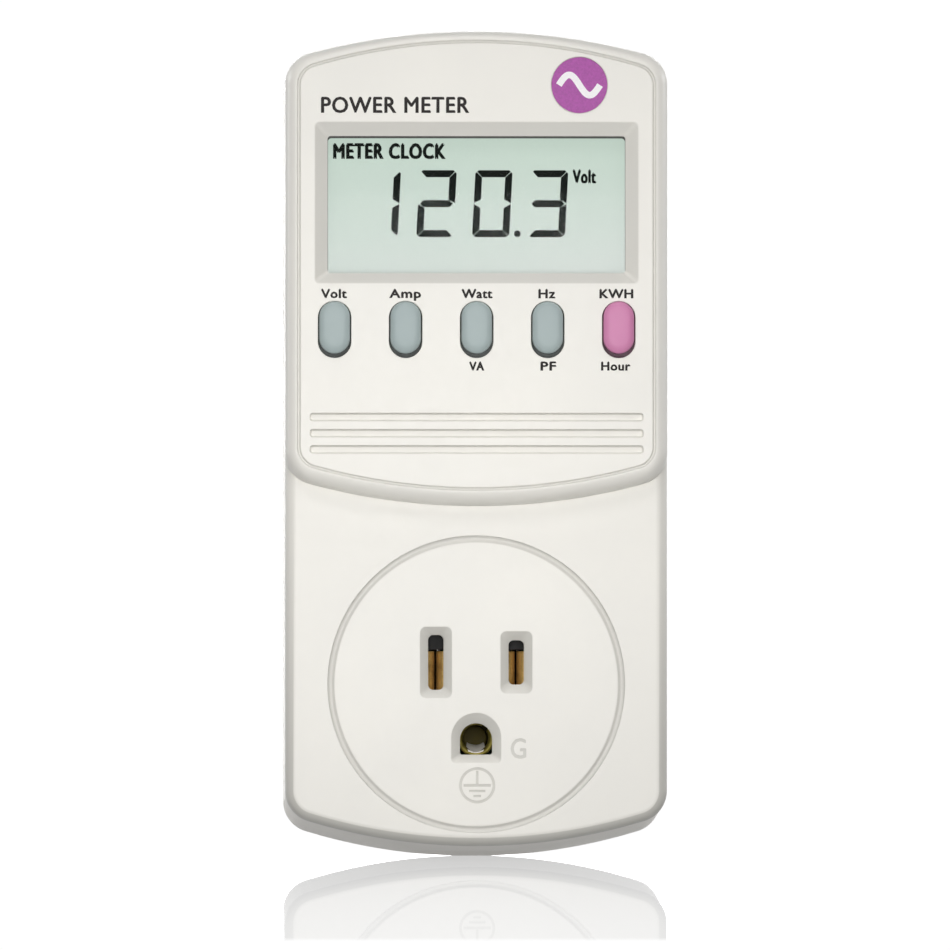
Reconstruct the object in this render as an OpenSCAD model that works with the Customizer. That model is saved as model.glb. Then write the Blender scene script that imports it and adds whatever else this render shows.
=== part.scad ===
// Plug-in power meter: a wall-plug energy monitor with a display, five push
// buttons and a pass-through three-pin outlet. Dimensions in millimetres.
// Frame: +Z up, the front faces -Y, the back of the case lies on the plane
// Y = 0 (the wall plate's face), and the origin is midway between the two
// flat blades of the plug.

/* [Case] */
// Width across the flat sides
body_w = 60.3; // [60:0.1:61.5]
// Height of the top of the case above the blades' centre line
top_z = 99.6; // [99:0.1:103]
// Depth of the bottom of the case below the blades' centre line
bottom_z = 30.7; // [30.7:0.1:33]
// Depth from the raised front deck to the wall
depth = 41.3; // [41:0.1:43]
// How far the upper deck stands above the lower deck
deck_step = 3.5; // [3.3:0.1:3.7]
// Height of the lowest point of the upper deck's curved edge
deck_z = 24.8; // [24:0.1:26]
// Radius of the case's crowned top edge
top_r = 102.3; // [95:1:120]
// Radius of the case's crowned bottom edge
bottom_r = 91; // [85:1:100]
// Radius of the case's corners seen from the front
corner_r = 5; // [4.6:0.1:5.4]
// Wall thickness of the two shells
wall = 2; // [1.9:0.05:2.1]
// Radius of the lower deck's front edge
edge_r = 1.8; // [1.6:0.1:2]
// How much the bottom wall slopes down from the parting line to the wall plate
bottom_draft = 1.7; // [1.5:0.1:1.8]
// Distance from the wall plate to the parting line of the shells
split = 33; // [32.4:0.1:33.2]

/* [Display] */
// Width of the display opening
lcd_w = 47; // [46:0.1:47.4]
// Height of the display opening
lcd_h = 21.6; // [21:0.1:21.8]
// Height of the display opening's centre
lcd_z = 72.2; // [72:0.1:72.4]
// Width of the sloped frame around the display
bezel_w = 2; // [1.6:0.1:2]

/* [Buttons] */
// Width of a button cap
button_w = 5.1; // [4.8:0.1:5.2]
// Height of a button cap
button_h = 8.7; // [8.4:0.1:8.8]
// Distance between neighbouring buttons
button_pitch = 11.2; // [11:0.05:11.3]
// Height of the row of buttons
button_z = 52.5; // [52.4:0.05:52.6]
// How far a cap stands above the upper deck
button_proud = 0.8; // [0.7:0.05:1]
// Gap around each cap
button_gap = 0.2; // [0.15:0.05:0.25]

/* [Grooves] */
// Number of decorative grooves under the buttons
groove_count = 3; // [1:1:3]
// Length of a groove
groove_len = 52.5; // [40:0.5:53]
// Width of a groove
groove_w = 1.3; // [1:0.1:1.6]
// Depth of a groove
groove_d = 0.6; // [0.3:0.1:0.9]

/* [Outlet] */
// Radius of the round outlet face
socket_r = 22.55; // [22.4:0.05:22.6]
// Width of the ring groove around the outlet face
ring_w = 0.9; // [0.7:0.05:0.95]
// Height of the outlet face's centre
socket_z = -3.45; // [-3.6:0.05:-3.4]
// Height of the taller (neutral) slot
neutral_slot_h = 8.65; // [8.4:0.05:8.8]
// Height of the shorter (line) slot
hot_slot_h = 7; // [6.8:0.05:7.3]
// Width of the two slots
slot_w = 2.4; // [2.2:0.05:2.6]
// Width of the D-shaped ground opening
ground_w = 5.1; // [5:0.05:5.3]

/* [Plug] */
// Length of the flat blades beyond the back of the case
blade_len = 17.5; // [16:0.1:18.2]
// Thickness of the flat blades
blade_t = 1.52; // [1.5:0.01:1.55]
// Width of the line blade
hot_blade_w = 6.35; // [6.2:0.05:6.5]
// Width of the neutral blade
neutral_blade_w = 7.92; // [7.7:0.02:8.02]
// Radius of the round ground pin
pin_r = 2.38; // [2.36:0.01:2.42]
// Length of the ground pin beyond the back of the case
pin_len = 21.4; // [20:0.1:22]

/* [Hidden] */

// ---- ranges and places -------------------------------------------------
// A range is [low, high] along one axis; a place is [x, z] seen from the front.
sides = [-1, 1];
function around(centre, half) = [centre - half, centre + half];
function span(a, b) = [min(a, b), max(a, b)];
// the given places on both sides of the case
function mirrored(places) = [for (side = sides, p = places) [side * p.x, p.y]];

// ---- shared layout -----------------------------------------------------
half_w = body_w / 2;
deck_y = -depth;             // front of the upper deck
low_y = deck_y + deck_step;  // front of the lower deck
deck_in = deck_y + wall;     // inside of the upper deck
low_in = low_y + wall;       // inside of the lower deck
rear_in = -2.2;              // inside of the back wall
pad_y = -5.2;                // inside of the pad that carries the blades
board_t = 1.6;               // thickness of both boards
board_y = -15;               // front of the main board
board_back = board_y + board_t;
display_y = -32.5;           // front of the display board
display_back = display_y + board_t;
block_front = low_in + 1.6;  // contact block
block_back = -20.5;

blade_x = 6.35;              // half the blade spacing of a three-pin wall plug
ground_at = [0, -11.9];      // ground pin and its opening
socket_at = [0, socket_z];
clamp_x = around(0, 15);     // outline shared by the clamp and its pad
clamp_z = [-18, 8.5];
button_x = [for (i = [-2:2]) i * button_pitch];
badge_at = [16.2, 91];
badge_recess_r = 4.5;
label_half_w = 17;           // recess for the rear label
label_z = [30, 58];
shunt_x = [9, 19];           // centres of the shunt strip's legs
shunt_z = [12, 16];
display_header_z = 74;
main_header_z = 81;

case_screw_at = mirrored([[23.8, 90.5], [23.8, -19.5]]);
board_screw_at = mirrored([[23, 22], [23, 74]]);
display_screw_at = mirrored([[24, 44.6], [18, 90]]);
clamp_screw_at = mirrored([[12, -4]]);
block_screw_at = mirrored([[16.5, -4]]);
stake_at = mirrored([[16.6, 17], [25.6, -9.1]]);  // outlet face fixings

ivory = [0.93, 0.92, 0.89];
black = [0.1, 0.1, 0.11];
header_white = [0.9, 0.89, 0.84];
button_grey = [0.64, 0.7, 0.71];
button_pink = [0.84, 0.52, 0.7];
brass = [0.72, 0.58, 0.3];
plug_metal = [0.8, 0.78, 0.72];
steel = [0.7, 0.7, 0.72];

// ---- outlines ----------------------------------------------------------
corner_steps = 7;
crown_steps = 14;
function arc(centre, radius, from, to, steps) =
  [for (i = [0:steps]) let (a = from + (to - from) * i / steps)
    centre + radius * [cos(a), sin(a)]];
// a list without its first and last points
function inner(points) = [for (i = [1:len(points) - 2]) points[i]];
// a tall panel with flat sides, crowned top and bottom and round corners;
// top and bottom are the heights of the crowns' apexes
function panel(half, top, crown_top_r, bottom, crown_bottom_r, corner) =
  let (corner_x = half - corner,
       top_centre = top - crown_top_r,
       bottom_centre = bottom + crown_bottom_r,
       top_corner = top_centre + sqrt(pow(crown_top_r - corner, 2) - pow(corner_x, 2)),
       bottom_corner = bottom_centre
         - sqrt(pow(crown_bottom_r - corner, 2) - pow(corner_x, 2)),
       top_a = atan2(top_corner - top_centre, corner_x),
       bottom_a = atan2(bottom_centre - bottom_corner, corner_x))
  concat(
    arc([corner_x, top_corner], corner, 0, top_a, corner_steps),
    inner(arc([0, top_centre], crown_top_r, top_a, 180 - top_a, crown_steps)),
    arc([-corner_x, top_corner], corner, 180 - top_a, 180, corner_steps),
    arc([-corner_x, bottom_corner], corner, 180, 180 + bottom_a, corner_steps),
    inner(arc([0, bottom_centre], crown_bottom_r, 180 + bottom_a, 360 - bottom_a,
      crown_steps)),
    arc([corner_x, bottom_corner], corner, 360 - bottom_a, 360, corner_steps));
// the case outline moved inwards, by default as it is in front of the parting line
function case_outline(inset, bottom = bottom_draft - bottom_z) =
  panel(half_w - inset, top_z - inset, top_r - inset,
    bottom + inset, bottom_r - inset, max(corner_r - inset, 0.8));
// the same outline at the wall plate, where the sloped bottom is lowest
function back_outline(inset) = case_outline(inset, -bottom_z);
// the upper deck's outline moved inwards; it is a hair wider than the case
deck_extra = 0.04;
function deck_outline(inset) = let (grow = deck_extra - inset)
  panel(half_w + grow, top_z + grow, top_r + grow,
    deck_z + inset, 101 - inset, max(corner_r + grow, 0.8));
// the fine line engraved round the upper deck's flat
function line_outline(inset) =
  panel(half_w - 2.15 - inset, top_z - 1.5 - inset, 90.4 - inset,
    deck_z + 2.7 + inset, 96 - inset, 3.4 - inset);
function mix(a, b, t) = a * (1 - t) + b * t;

// ---- building blocks ---------------------------------------------------
// a skin through rings of equal point count, front to back: [y, points]
module skin(rings) {
  count = len(rings[0][1]);
  last = len(rings) - 1;
  points = [for (ring = rings) for (p = ring[1]) [p.x, ring[0], p.y]];
  walls = [for (k = [0:last - 1]) for (i = [0:count - 1])
    let (a = k * count + i, b = k * count + (i + 1) % count) each
      [[a, b, b + count], [a, b + count, a + count]]];
  caps = [[for (i = [0:count - 1]) count - 1 - i],
          [for (i = [0:count - 1]) last * count + i]];
  polyhedron(points = points, faces = concat(walls, caps), convexity = 6);
}
// a flat outline in X and Z, solid over the range y
module extrude_y(y) translate([0, y[1], 0]) rotate([90, 0, 0])
  linear_extrude(y[1] - y[0]) children();
// a flat outline in Y and Z, centred on x
module extrude_x(x, width) translate([x - width / 2, 0, 0]) rotate([90, 0, 90])
  linear_extrude(width) children();
module prism(points, y) extrude_y(y) polygon(points);
// a block over three ranges
module box(x, y, z)
  translate([x[0], y[0], z[0]]) cube([x[1] - x[0], y[1] - y[0], z[1] - z[0]]);
// a round bar or bore along Y
module bar(at, radius, y, facets = 48)
  translate([at.x, y[1], at.y]) rotate([90, 0, 0])
    cylinder(r = radius, h = y[1] - y[0], $fn = facets);
// a cone along Y
module cone(at, front_r, back_r, y)
  translate([at.x, y[1], at.y]) rotate([90, 0, 0])
    cylinder(r1 = back_r, r2 = front_r, h = y[1] - y[0], $fn = 48);
// a round rod along X
module rod(x, y, z, radius, facets)
  translate([x[0], y, z]) rotate([0, 90, 0])
    cylinder(r = radius, h = x[1] - x[0], $fn = facets);
// a flat pill along its longer dimension
module pill(width, height) {
  upright = height > width;
  straight = abs(height - width);
  for (side = sides)
    translate(side * (upright ? [0, straight / 2] : [straight / 2, 0]))
      circle(min(width, height) / 2, $fn = 40);
  square(upright ? [width, straight] : [straight, height], center = true);
}
// a button cap's outline, larger all over by grow
module button_pill(x, y, grow = 0) extrude_y(y) translate([x, button_z])
  pill(button_w + grow, button_h + grow);
// a rectangular funnel from its front size to its back size, each [width, height]
module funnel(at, front, back, y) {
  function ring(size, y) = [for (c = [[-1, -1], [1, -1], [1, 1], [-1, 1]])
    [at.x + c.x * size.x / 2, y, at.y + c.y * size.y / 2]];
  polyhedron(points = concat(ring(front, y[0]), ring(back, y[1])),
    faces = [[3, 2, 1, 0], [4, 5, 6, 7], [0, 1, 5, 4], [1, 2, 6, 5],
             [2, 3, 7, 6], [3, 0, 4, 7]]);
}
// a round post along Y with a bore
module post(at, radius, y, bore_r, bore_y) difference() {
  bar(at, radius, y);
  bar(at, bore_r, bore_y);
}
// cross-head screws along Y: each head rises from the seat towards dir
module screws(places, seat, dir, head_r, head_h, shank_r, length) {
  recess = span(seat + dir * head_h * 0.45, seat + dir * (head_h + 0.1));
  for (at = places) difference() {
    union() {
      bar(at, head_r, span(seat, seat + dir * head_h), 32);
      bar(at, shank_r, span(seat + dir * 0.1, seat - dir * length), 32);
    }
    for (half = [[0.6, 0.12], [0.12, 0.6]] * head_r)
      box(around(at.x, half.x), recess, around(at.y, half.y));
  }
}

// ---- shells ------------------------------------------------------------
parting_step = 0.25;  // fine step at the parting line
parting_run = 0.4;    // depth over which the step runs out
groove_top_z = 38.55;
groove_pitch = 2.55;

module front_outside() {
  // lower deck with its rounded edge, and the side walls
  skin(concat(
    [for (k = [0:5]) let (t = 90 * k / 5)
      [low_y + edge_r * (1 - cos(t)), case_outline(edge_r * (1 - sin(t)))]],
    [[-split - parting_run, case_outline(0)],
     [-split, case_outline(parting_step)]]));
  // raised upper deck, its edge rolled down to the lower deck
  skin(concat(
    [for (k = [0:6]) let (t = 90 * k / 6)
      [deck_y + deck_step * (1 - cos(t)),
       mix(line_outline(0), deck_outline(0), sin(t))]],
    [[low_y + 4, deck_outline(0)]]));
}

module front_shell() color(ivory) {
  difference() {
    front_outside();
    // hollow inside, with a rebate for the rear shell's lip
    prism(case_outline(wall), [low_in, 0]);
    prism(case_outline(1), [-split - 2.2, 0]);
    prism(deck_outline(3.2), [deck_in, low_in + 1]);
    // sloped display frame and its opening
    funnel([0, lcd_z], [lcd_w, lcd_h] + (2 * bezel_w + 0.2) * [1, 1],
      [lcd_w - 0.2, lcd_h - 0.2], [deck_y - 0.1, deck_y + bezel_w + 0.1]);
    box(around(0, lcd_w / 2), [deck_y + 1, deck_in + 1], around(lcd_z, lcd_h / 2));
    // button openings
    for (x = button_x)
      button_pill(x, [deck_y - 1, deck_in + 1], 2 * button_gap);
    // grooves
    for (i = [0:groove_count - 1]) extrude_y([deck_y - 1, deck_y + groove_d])
      translate([0, groove_top_z - groove_pitch * i]) pill(groove_len, groove_w);
    // engraved line
    difference() {
      prism(line_outline(0), [deck_y - 1, deck_y + 0.25]);
      prism(line_outline(0.4), [deck_y - 2, deck_y + 1]);
    }
    // opening for the outlet face
    bar(socket_at, socket_r + ring_w, [low_y - 1, low_in + 1], 96);
    // recess for the round badge
    bar(badge_at, badge_recess_r, [deck_y - 1, deck_y + 0.25]);
  }
  // posts for the case screws, from the deck in front of each
  for (at = case_screw_at)
    post(at, 3.2, [(at.y > deck_z ? deck_in : low_in) - 0.2, -22.1], 1.5, [-34, -22]);
  // posts for the display board
  for (at = display_screw_at)
    post(at, 2.2, [deck_in - 0.2, display_y], 1.05, [deck_in + 1, display_y + 1]);
  // stakes that hold the outlet face, with their spread heads
  for (at = stake_at) {
    bar(at, 1.1, [low_in - 0.2, low_in + 1.6], 32);
    cone(at, 1.9, 1.1, [low_in + 1.55, low_in + 2.4]);
  }
}

back_edge_r = 2;
rib_t = 1.2;
pad_through = [-6, 1];

module rear_shell() color([0.91, 0.9, 0.88]) difference() {
  union() {
    difference() {
      skin(concat(
        [[-split, case_outline(parting_step)], [-split + parting_run, case_outline(0)]],
        [for (k = [0:4]) let (t = 90 * k / 4)
          [-back_edge_r * (1 - sin(t)), back_outline(back_edge_r * (1 - cos(t)))]]));
      skin([[-split - 1, case_outline(wall)], [rear_in, back_outline(wall)]]);
    }
    // lip that fits inside the front shell
    difference() {
      prism(case_outline(1.1), [-split - 2, -split + 1.5]);
      prism(case_outline(wall), [-split - 3, -split + 3]);
    }
    // tubes around the case screws
    for (at = case_screw_at) bar(at, 4.2, [-22, rear_in + 0.2]);
    // stiffening ribs inside the side walls
    for (side = sides, z = [8, 40, 58])
      box(span(side * (half_w - wall - rib_t), side * (half_w - wall + 0.2)),
        [-29, rear_in + 0.2], [z, z + rib_t]);
    // pillars under the main board
    for (at = board_screw_at) bar(at, 3, [board_back, rear_in + 0.2]);
    // pad that carries the blades
    box(clamp_x, [pad_y, rear_in + 0.2], clamp_z);
  }
  // case screw recesses and holes
  for (at = case_screw_at) {
    bar(at, 3, [-16, 1]);
    bar(at, 1.7, [-23, 0]);
  }
  // pilots for the main board's screws
  for (at = board_screw_at) bar(at, 1.25, [board_y - 1, -4.5], 32);
  // openings for the blades and the ground pin
  for (blade = [[blade_x, hot_blade_w], [-blade_x, neutral_blade_w]])
    box(around(blade[0], blade_t / 2 + 0.15), pad_through,
      around(0, blade[1] / 2 + 0.15));
  bar(ground_at, 2.55, pad_through);
  // pilots for the clamp's screws
  for (at = clamp_screw_at) bar(at, 1.25, [-6, -1.2], 32);
  // shallow recess for the label
  box(around(0, label_half_w), [-0.3, 1], label_z);
}

// ---- display -----------------------------------------------------------
window_y = deck_in + 0.25;  // front of the window
window_x = around(0, 26);
window_z = [58.4, 86.2];
glass_y = window_y + 1.5;   // front of the liquid crystal glass
pane_t = 1.1;               // one of the glass's two layers
glass_back = glass_y + 2 * pane_t;

module display_window() color([0.8, 0.85, 0.84, 0.4])
  box(window_x, [window_y, window_y + 1.2], window_z);

module window_tape() color([0.15, 0.15, 0.16]) difference() {
  box(window_x, [deck_in, window_y], window_z);
  box(around(0, lcd_w / 2 + 0.4), [deck_in - 1, window_y + 1],
    around(lcd_z, lcd_h / 2 + 0.4));
}

module lcd_frame() color([0.86, 0.86, 0.84]) difference() {
  box(around(0, 26.6), [glass_y - 0.2, display_y], [57.8, 86.6]);
  // viewing window and the pocket for the glass
  box(around(0, 24.2), [glass_y - 1, display_y + 1], [60.6, 84.2]);
  box(around(0, 25.3), [glass_y, display_y + 1], [58.3, 86.1]);
}

module lcd_glass() color([0.82, 0.86, 0.82]) difference() {
  box(around(0, 25.2), [glass_y, glass_back], [58.4, 86]);
  // the back glass is shorter, and leaves the contact ledge bare
  box(around(0, 26), [glass_y + pane_t, glass_y + 3], [58, 61.2]);
}

module lcd_reflector() color([0.75, 0.78, 0.76])
  box(around(0, 24.9), [glass_back, glass_back + 0.25], [61.6, 85.8]);

module zebra_strip() color([0.35, 0.35, 0.37])
  box(around(0, 24.5), [glass_y + pane_t, display_y], [58.8, 60.8]);

module display_board() color([0.12, 0.4, 0.22]) difference() {
  union() {
    box(around(0, 26.8), [display_y, display_back], [42, 84]);
    box(around(0, 20.2), [display_y, display_back], [83.9, 92.4]);
  }
  for (at = display_screw_at) bar(at, 1.25, [display_y - 1, display_back + 1], 32);
}

// a round blob that narrows away from the board
module controller_chip() color([0.06, 0.06, 0.07])
  cone([-9, 64], 6.2, 4.4, [display_back, display_back + 1.6]);

// legs in rows along X; left is the low edge of the first leg in each row
module chip_legs(left, width, pitch, count, y, rows)
  for (z = rows, i = [0:count - 1])
    box([left, left + width] + pitch * i * [1, 1], y, z);

module memory_chip() color(black) {
  box([10, 15], [display_back + 0.2, display_back + 1.7], [62, 66]);
  chip_legs(left = 10.4, width = 0.4, pitch = 1.27, count = 4,
    y = [display_back, display_back + 0.6], rows = [[60.9, 62.1], [65.9, 67.1]]);
}

module clock_crystal() color([0.75, 0.75, 0.78]) {
  x = 7;
  translate([x, display_back + 1.05, 54]) cylinder(r = 1, h = 6, $fn = 32);
  for (side = sides) translate([x + side * 0.4, display_back + 0.6, 51])
    cylinder(r = 0.2, h = 3.1, $fn = 16);
}

// a pin header that stands on a board face; dir points away from the board
header_h = 3.4;
module header(z, face, dir)
  box(around(0, 7), span(face, face + dir * header_h), around(z, 1.3));
module display_header() color(header_white) header(display_header_z, display_back, 1);
module main_header() color(header_white) header(main_header_z, board_y, -1);

// ---- buttons -----------------------------------------------------------
cap_y = deck_y - button_proud;  // front of a cap
flange_y = deck_in + 0.1;       // front of a cap's flange
stem_end = display_y - 4.8;     // where a cap's stem meets its plunger

module button(x) {
  // straight side of the cap, then its bevelled top
  button_pill(x, [cap_y + 0.35, flange_y + 0.5]);
  hull() {
    button_pill(x, [cap_y + 0.3, cap_y + 0.4]);
    button_pill(x, [cap_y, cap_y + 0.1], -0.9);
  }
  // flange behind the case wall, and the stem
  box(around(x, 3.3), [flange_y, flange_y + 0.8], around(button_z, 4.9));
  bar([x, button_z], 1.5, [flange_y + 0.7, stem_end], 32);
}
module button_volt() color(button_grey) button(button_x[0]);
module button_amp() color(button_grey) button(button_x[1]);
module button_watt() color(button_grey) button(button_x[2]);
module button_hz() color(button_grey) button(button_x[3]);
module button_kwh() color(button_pink) button(button_x[4]);

module plunger(x) color([0.12, 0.12, 0.13]) {
  bar([x, button_z], 1.7, [stem_end, display_y - 2.2], 32);
  bar([x, button_z], 2.1, [display_y - 2.3, display_y - 1.7], 32);
}
module plunger_volt() plunger(button_x[0]);
module plunger_amp() plunger(button_x[1]);
module plunger_watt() plunger(button_x[2]);
module plunger_hz() plunger(button_x[3]);
module plunger_kwh() plunger(button_x[4]);

// push switches: square cases with a stepped bore for the plunger
module switch_bodies() color([0.2, 0.2, 0.22])
  for (x = button_x) difference() {
    box(around(x, 3), [display_y - 3.6, display_y], around(button_z, 3));
    bar([x, button_z], 1.8, [display_y - 5, display_y - 2], 32);
    bar([x, button_z], 2.2, [display_y - 2.4, display_y - 0.5], 32);
  }

// ---- outlet ------------------------------------------------------------
plate_t = 1.5;                          // plate behind the lower deck
outlet_through = [low_y - 1, low_in + 3];
block_through = [block_front - 1, block_back + 1];
earth_z = -19.4;                        // centre of the earth mark
mark_cut = [low_y - 1, low_y + 0.2];

// the D-shaped ground opening, round side up; up and down are its reach
// from the pin's centre
module ground_dee(y, width, up, down) extrude_y(y) translate(ground_at) {
  translate([0, up - width / 2]) circle(width / 2, $fn = 40);
  translate([-width / 2, -down]) square([width, down + up - width / 2]);
}

// engraved earth mark: a ring with a stem and three bars
module earth_mark() {
  difference() {
    bar([0, earth_z], 2.85, mark_cut);
    bar([0, earth_z], 2.4, [low_y - 2, low_y + 1]);
  }
  box(around(0, 0.22), mark_cut, [earth_z, -17.2]);
  // each bar: half length, bottom, top
  for (line = [[1.8, -19.6, -19.2], [1.2, -20.45, -20.1], [0.6, -21.25, -20.9]])
    box(around(0, line[0]), mark_cut, [line[1], line[2]]);
}

module outlet_face() color(ivory) difference() {
  union() {
    bar(socket_at, socket_r, [low_y, low_y + 0.6], 96);
    bar(socket_at, socket_r + ring_w - 0.1, [low_y + 0.5, low_in + 0.1], 96);
    intersection() {
      bar(socket_at, 24.7, [low_in, low_in + plate_t], 96);
      prism(case_outline(wall + 0.15), [low_in - 1, low_in + 2]);
    }
    // ears over the stakes
    for (at = stake_at) bar(at, 2.3, [low_in, low_in + plate_t], 32);
  }
  for (at = stake_at) bar(at, 1.2, [low_in - 1, low_in + 3], 32);
  // slots with their sloped surrounds
  for (slot = [[-blade_x, neutral_slot_h], [blade_x, hot_slot_h]]) {
    box(around(slot[0], slot_w / 2), outlet_through, around(0, slot[1] / 2));
    funnel([slot[0], 0], [slot_w + 2.7, slot[1] + 3], [slot_w - 0.1, slot[1] - 0.1],
      [low_y - 0.1, low_y + 1.3]);
  }
  // ground opening with its sloped surround
  ground_dee(outlet_through, ground_w, 2.3, 2.65);
  hull() {
    ground_dee([low_y - 0.1, low_y], ground_w + 2.8, 3.95, 3.95);
    ground_dee([low_y + 1.2, low_y + 1.3], ground_w, 2.3, 2.65);
  }
  // pilots for the contact block's screws
  for (at = block_screw_at) bar(at, 1.05, [low_y + 1, low_in + 3], 32);
  earth_mark();
}

ear_t = 2.5;  // contact block's screw ears
module contact_block() color([0.16, 0.16, 0.17]) difference() {
  union() {
    box(around(0, 12.5), [block_front, block_back], [-17.5, 7.5]);
    box(around(0, 19), [block_front, block_front + ear_t], [-7, -1]);
  }
  // through pockets for the three contacts
  for (side = sides) box(around(side * blade_x, 2.3), block_through, around(0, 5));
  bar(ground_at, 3.7, block_through);
  for (at = block_screw_at) bar(at, 1.3, [block_front - 1, block_front + 3], 32);
}

// a flat contact: two sprung leaves with flared mouths, a web and a leg
lip_y = block_front + 0.4;
module leaf_contact(x) {
  leaf = [-4.8, 1.8];  // range in Z
  for (side = sides) translate([x, 0, leaf[0]]) linear_extrude(leaf[1] - leaf[0])
    polygon([[side * 0.45, lip_y + 1.6], [side * 1.25, lip_y],
      [side * 1.75, lip_y + 0.3], [side * 1.05, lip_y + 1.8],
      [side * 1.05, -20.3], [side * 0.45, -20.3]]);
  box(around(x, 1.05), [-20.5, -19.7], leaf);
  extrude_x(x, 0.8) polygon([[-19.9, 1], [-19.9, 7], [-12.7, 7], [-12.7, 4.8],
    [-18.2, 4.8], [-18.2, 1]]);
}
module hot_contact() color(brass) leaf_contact(blade_x);
module neutral_contact() color(brass) leaf_contact(-blade_x);

// a split sleeve riveted to the inner end of the ground pin
module ground_contact() color(brass) difference() {
  bar(ground_at, 3.05, [lip_y, -19.2]);
  bar(ground_at, 2.45, [block_front, -20]);
  box(around(0, 0.9), [block_front, -21.5], [ground_at.y, ground_at.y + 5]);
  bar(ground_at, 1.55, [-21, -19]);
}

// ---- plug --------------------------------------------------------------
module blade(x, width) {
  half = width / 2;
  difference() {
    union() {
      // tongue with a bevelled tip
      extrude_x(x, blade_t) polygon([[-5.3, -half], [blade_len - 1.6, -half],
        [blade_len, -half + 1.2], [blade_len, half - 1.2],
        [blade_len - 1.6, half], [-5.3, half]]);
      // shoulder in front of the pad, and the tail to the board
      box(around(x, blade_t / 2), [pad_y - 1.5, pad_y], around(0, 5.1));
      box(around(x, blade_t / 2), [-16.1, pad_y - 1.4], around(0, 2));
    }
    // thin the tip from both faces
    for (side = sides) translate([x, 0, -5]) linear_extrude(10)
      polygon([[side * blade_t / 2, blade_len - 2],
        [side * (blade_t / 2 - 0.4), blade_len + 0.01],
        [side * (blade_t / 2 + 1), blade_len + 0.01],
        [side * (blade_t / 2 + 1), blade_len - 2]]);
  }
}
module plug_blade_hot() color(plug_metal) blade(blade_x, hot_blade_w);
module plug_blade_neutral() color(plug_metal) blade(-blade_x, neutral_blade_w);

// turned profile of the ground pin: radius, place along Y, from the front end
// over the neck and collar to the rounded tip
pin_profile = concat(
  [[0, -20.9], [1.9, -20.9], [2.05, -20.7], [2.05, -20], [1.5, -20], [1.5, -19.2],
   [1.9, -19.2], [1.9, pad_y - 1.5], [3.9, pad_y - 1.5], [3.9, pad_y], [2.1, pad_y],
   [2.1, 0.4], [pin_r, 0.45]],
  [for (k = [0:8]) let (a = 90 * k / 8) [pin_r * cos(a), pin_len - 2 + 2 * sin(a)]]);
module plug_ground_pin() color(plug_metal)
  translate([0, 0, ground_at.y]) rotate([-90, 0, 0]) rotate_extrude($fn = 64)
    polygon(pin_profile);

clamp_t = 4;
clamp_through = [pad_y - 5, pad_y + 1];
clamp_seat = [pad_y - 1.6, pad_y + 1];  // pockets for the shoulders and collar
module blade_clamp() color([0.85, 0.84, 0.82]) difference() {
  box(clamp_x, [pad_y - clamp_t, pad_y], clamp_z);
  for (side = sides) {
    box(around(side * blade_x, 0.9), clamp_seat, around(0, 5.3));
    box(around(side * blade_x, 0.9), clamp_through, around(0, 2.2));
  }
  for (at = clamp_screw_at) bar(at, 1.4, clamp_through, 32);
  bar(ground_at, 4.05, clamp_seat);
  bar(ground_at, 2.05, clamp_through);
}

// ---- main board --------------------------------------------------------
board_through = [board_y - 1, board_y + 3];
module main_board() color([0.14, 0.42, 0.24]) difference() {
  box(around(0, 26.6), [board_y, board_back], [-22, 86]);
  for (at = case_screw_at) bar(at, 4.9, board_through);
  for (at = board_screw_at) bar(at, 1.35, board_through, 32);
  // slots for the blades' tails and the contacts' legs
  for (side = sides) {
    box(around(side * blade_x, 0.95), board_through, around(0, 2.2));
    box(around(side * blade_x, 0.6), board_through, [4.6, 7.2]);
  }
  bar(ground_at, 2.6, board_through);
  // slots for the shunt strip
  for (x = shunt_x) box(around(x, 0.7), board_through, shunt_z + [-0.2, 0.2]);
}

// a strip bent into a square arch, with its legs through the board
module shunt_strip() color([0.62, 0.5, 0.38]) {
  left = around(shunt_x[0], 0.5);
  right = around(shunt_x[1], 0.5);
  leg_end = -12.8;
  translate([0, 0, shunt_z[0]]) linear_extrude(shunt_z[1] - shunt_z[0])
    polygon([[left[0], leg_end], [left[0], -20.5], [right[1], -20.5],
      [right[1], leg_end], [right[0], leg_end], [right[0], -19.5],
      [left[1], -19.5], [left[1], leg_end]]);
}

module dropper_capacitor() color([0.86, 0.78, 0.3]) difference() {
  box([-25, 1], [board_y - 17, board_y], [28, 38]);
  // gap over the board between the feet at the two ends
  box([-22, -2], [board_y - 0.6, board_y + 1], [27, 39]);
}

module surge_varistor() color([0.15, 0.35, 0.65]) {
  x = 13;
  translate([x, board_y - 8, 30]) cylinder(r = 5.5, h = 4, $fn = 40);
  for (side = sides) bar([x + side * 2.5, 32], 0.4, [board_y - 4, board_y], 16);
}

module smoothing_capacitors() color([0.1, 0.12, 0.2])
  for (at = [[12, 46], [21.5, 50]]) {
    bar(at, 4, [board_y - 11.4, board_y - 0.4], 40);
    bar(at, 3.6, [board_y - 0.5, board_y], 40);
  }

module dropper_resistor() color([0.35, 0.55, 0.7]) {
  y = board_y - 3;
  z = 48;
  rod([-18, -6], y, z, 2.4, 32);
  for (x = [-19.5, -4.5]) bar([x, z], 0.4, [y - 0.4, board_y], 16);
  rod([-19.9, -4.1], y, z, 0.4, 16);
}

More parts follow.
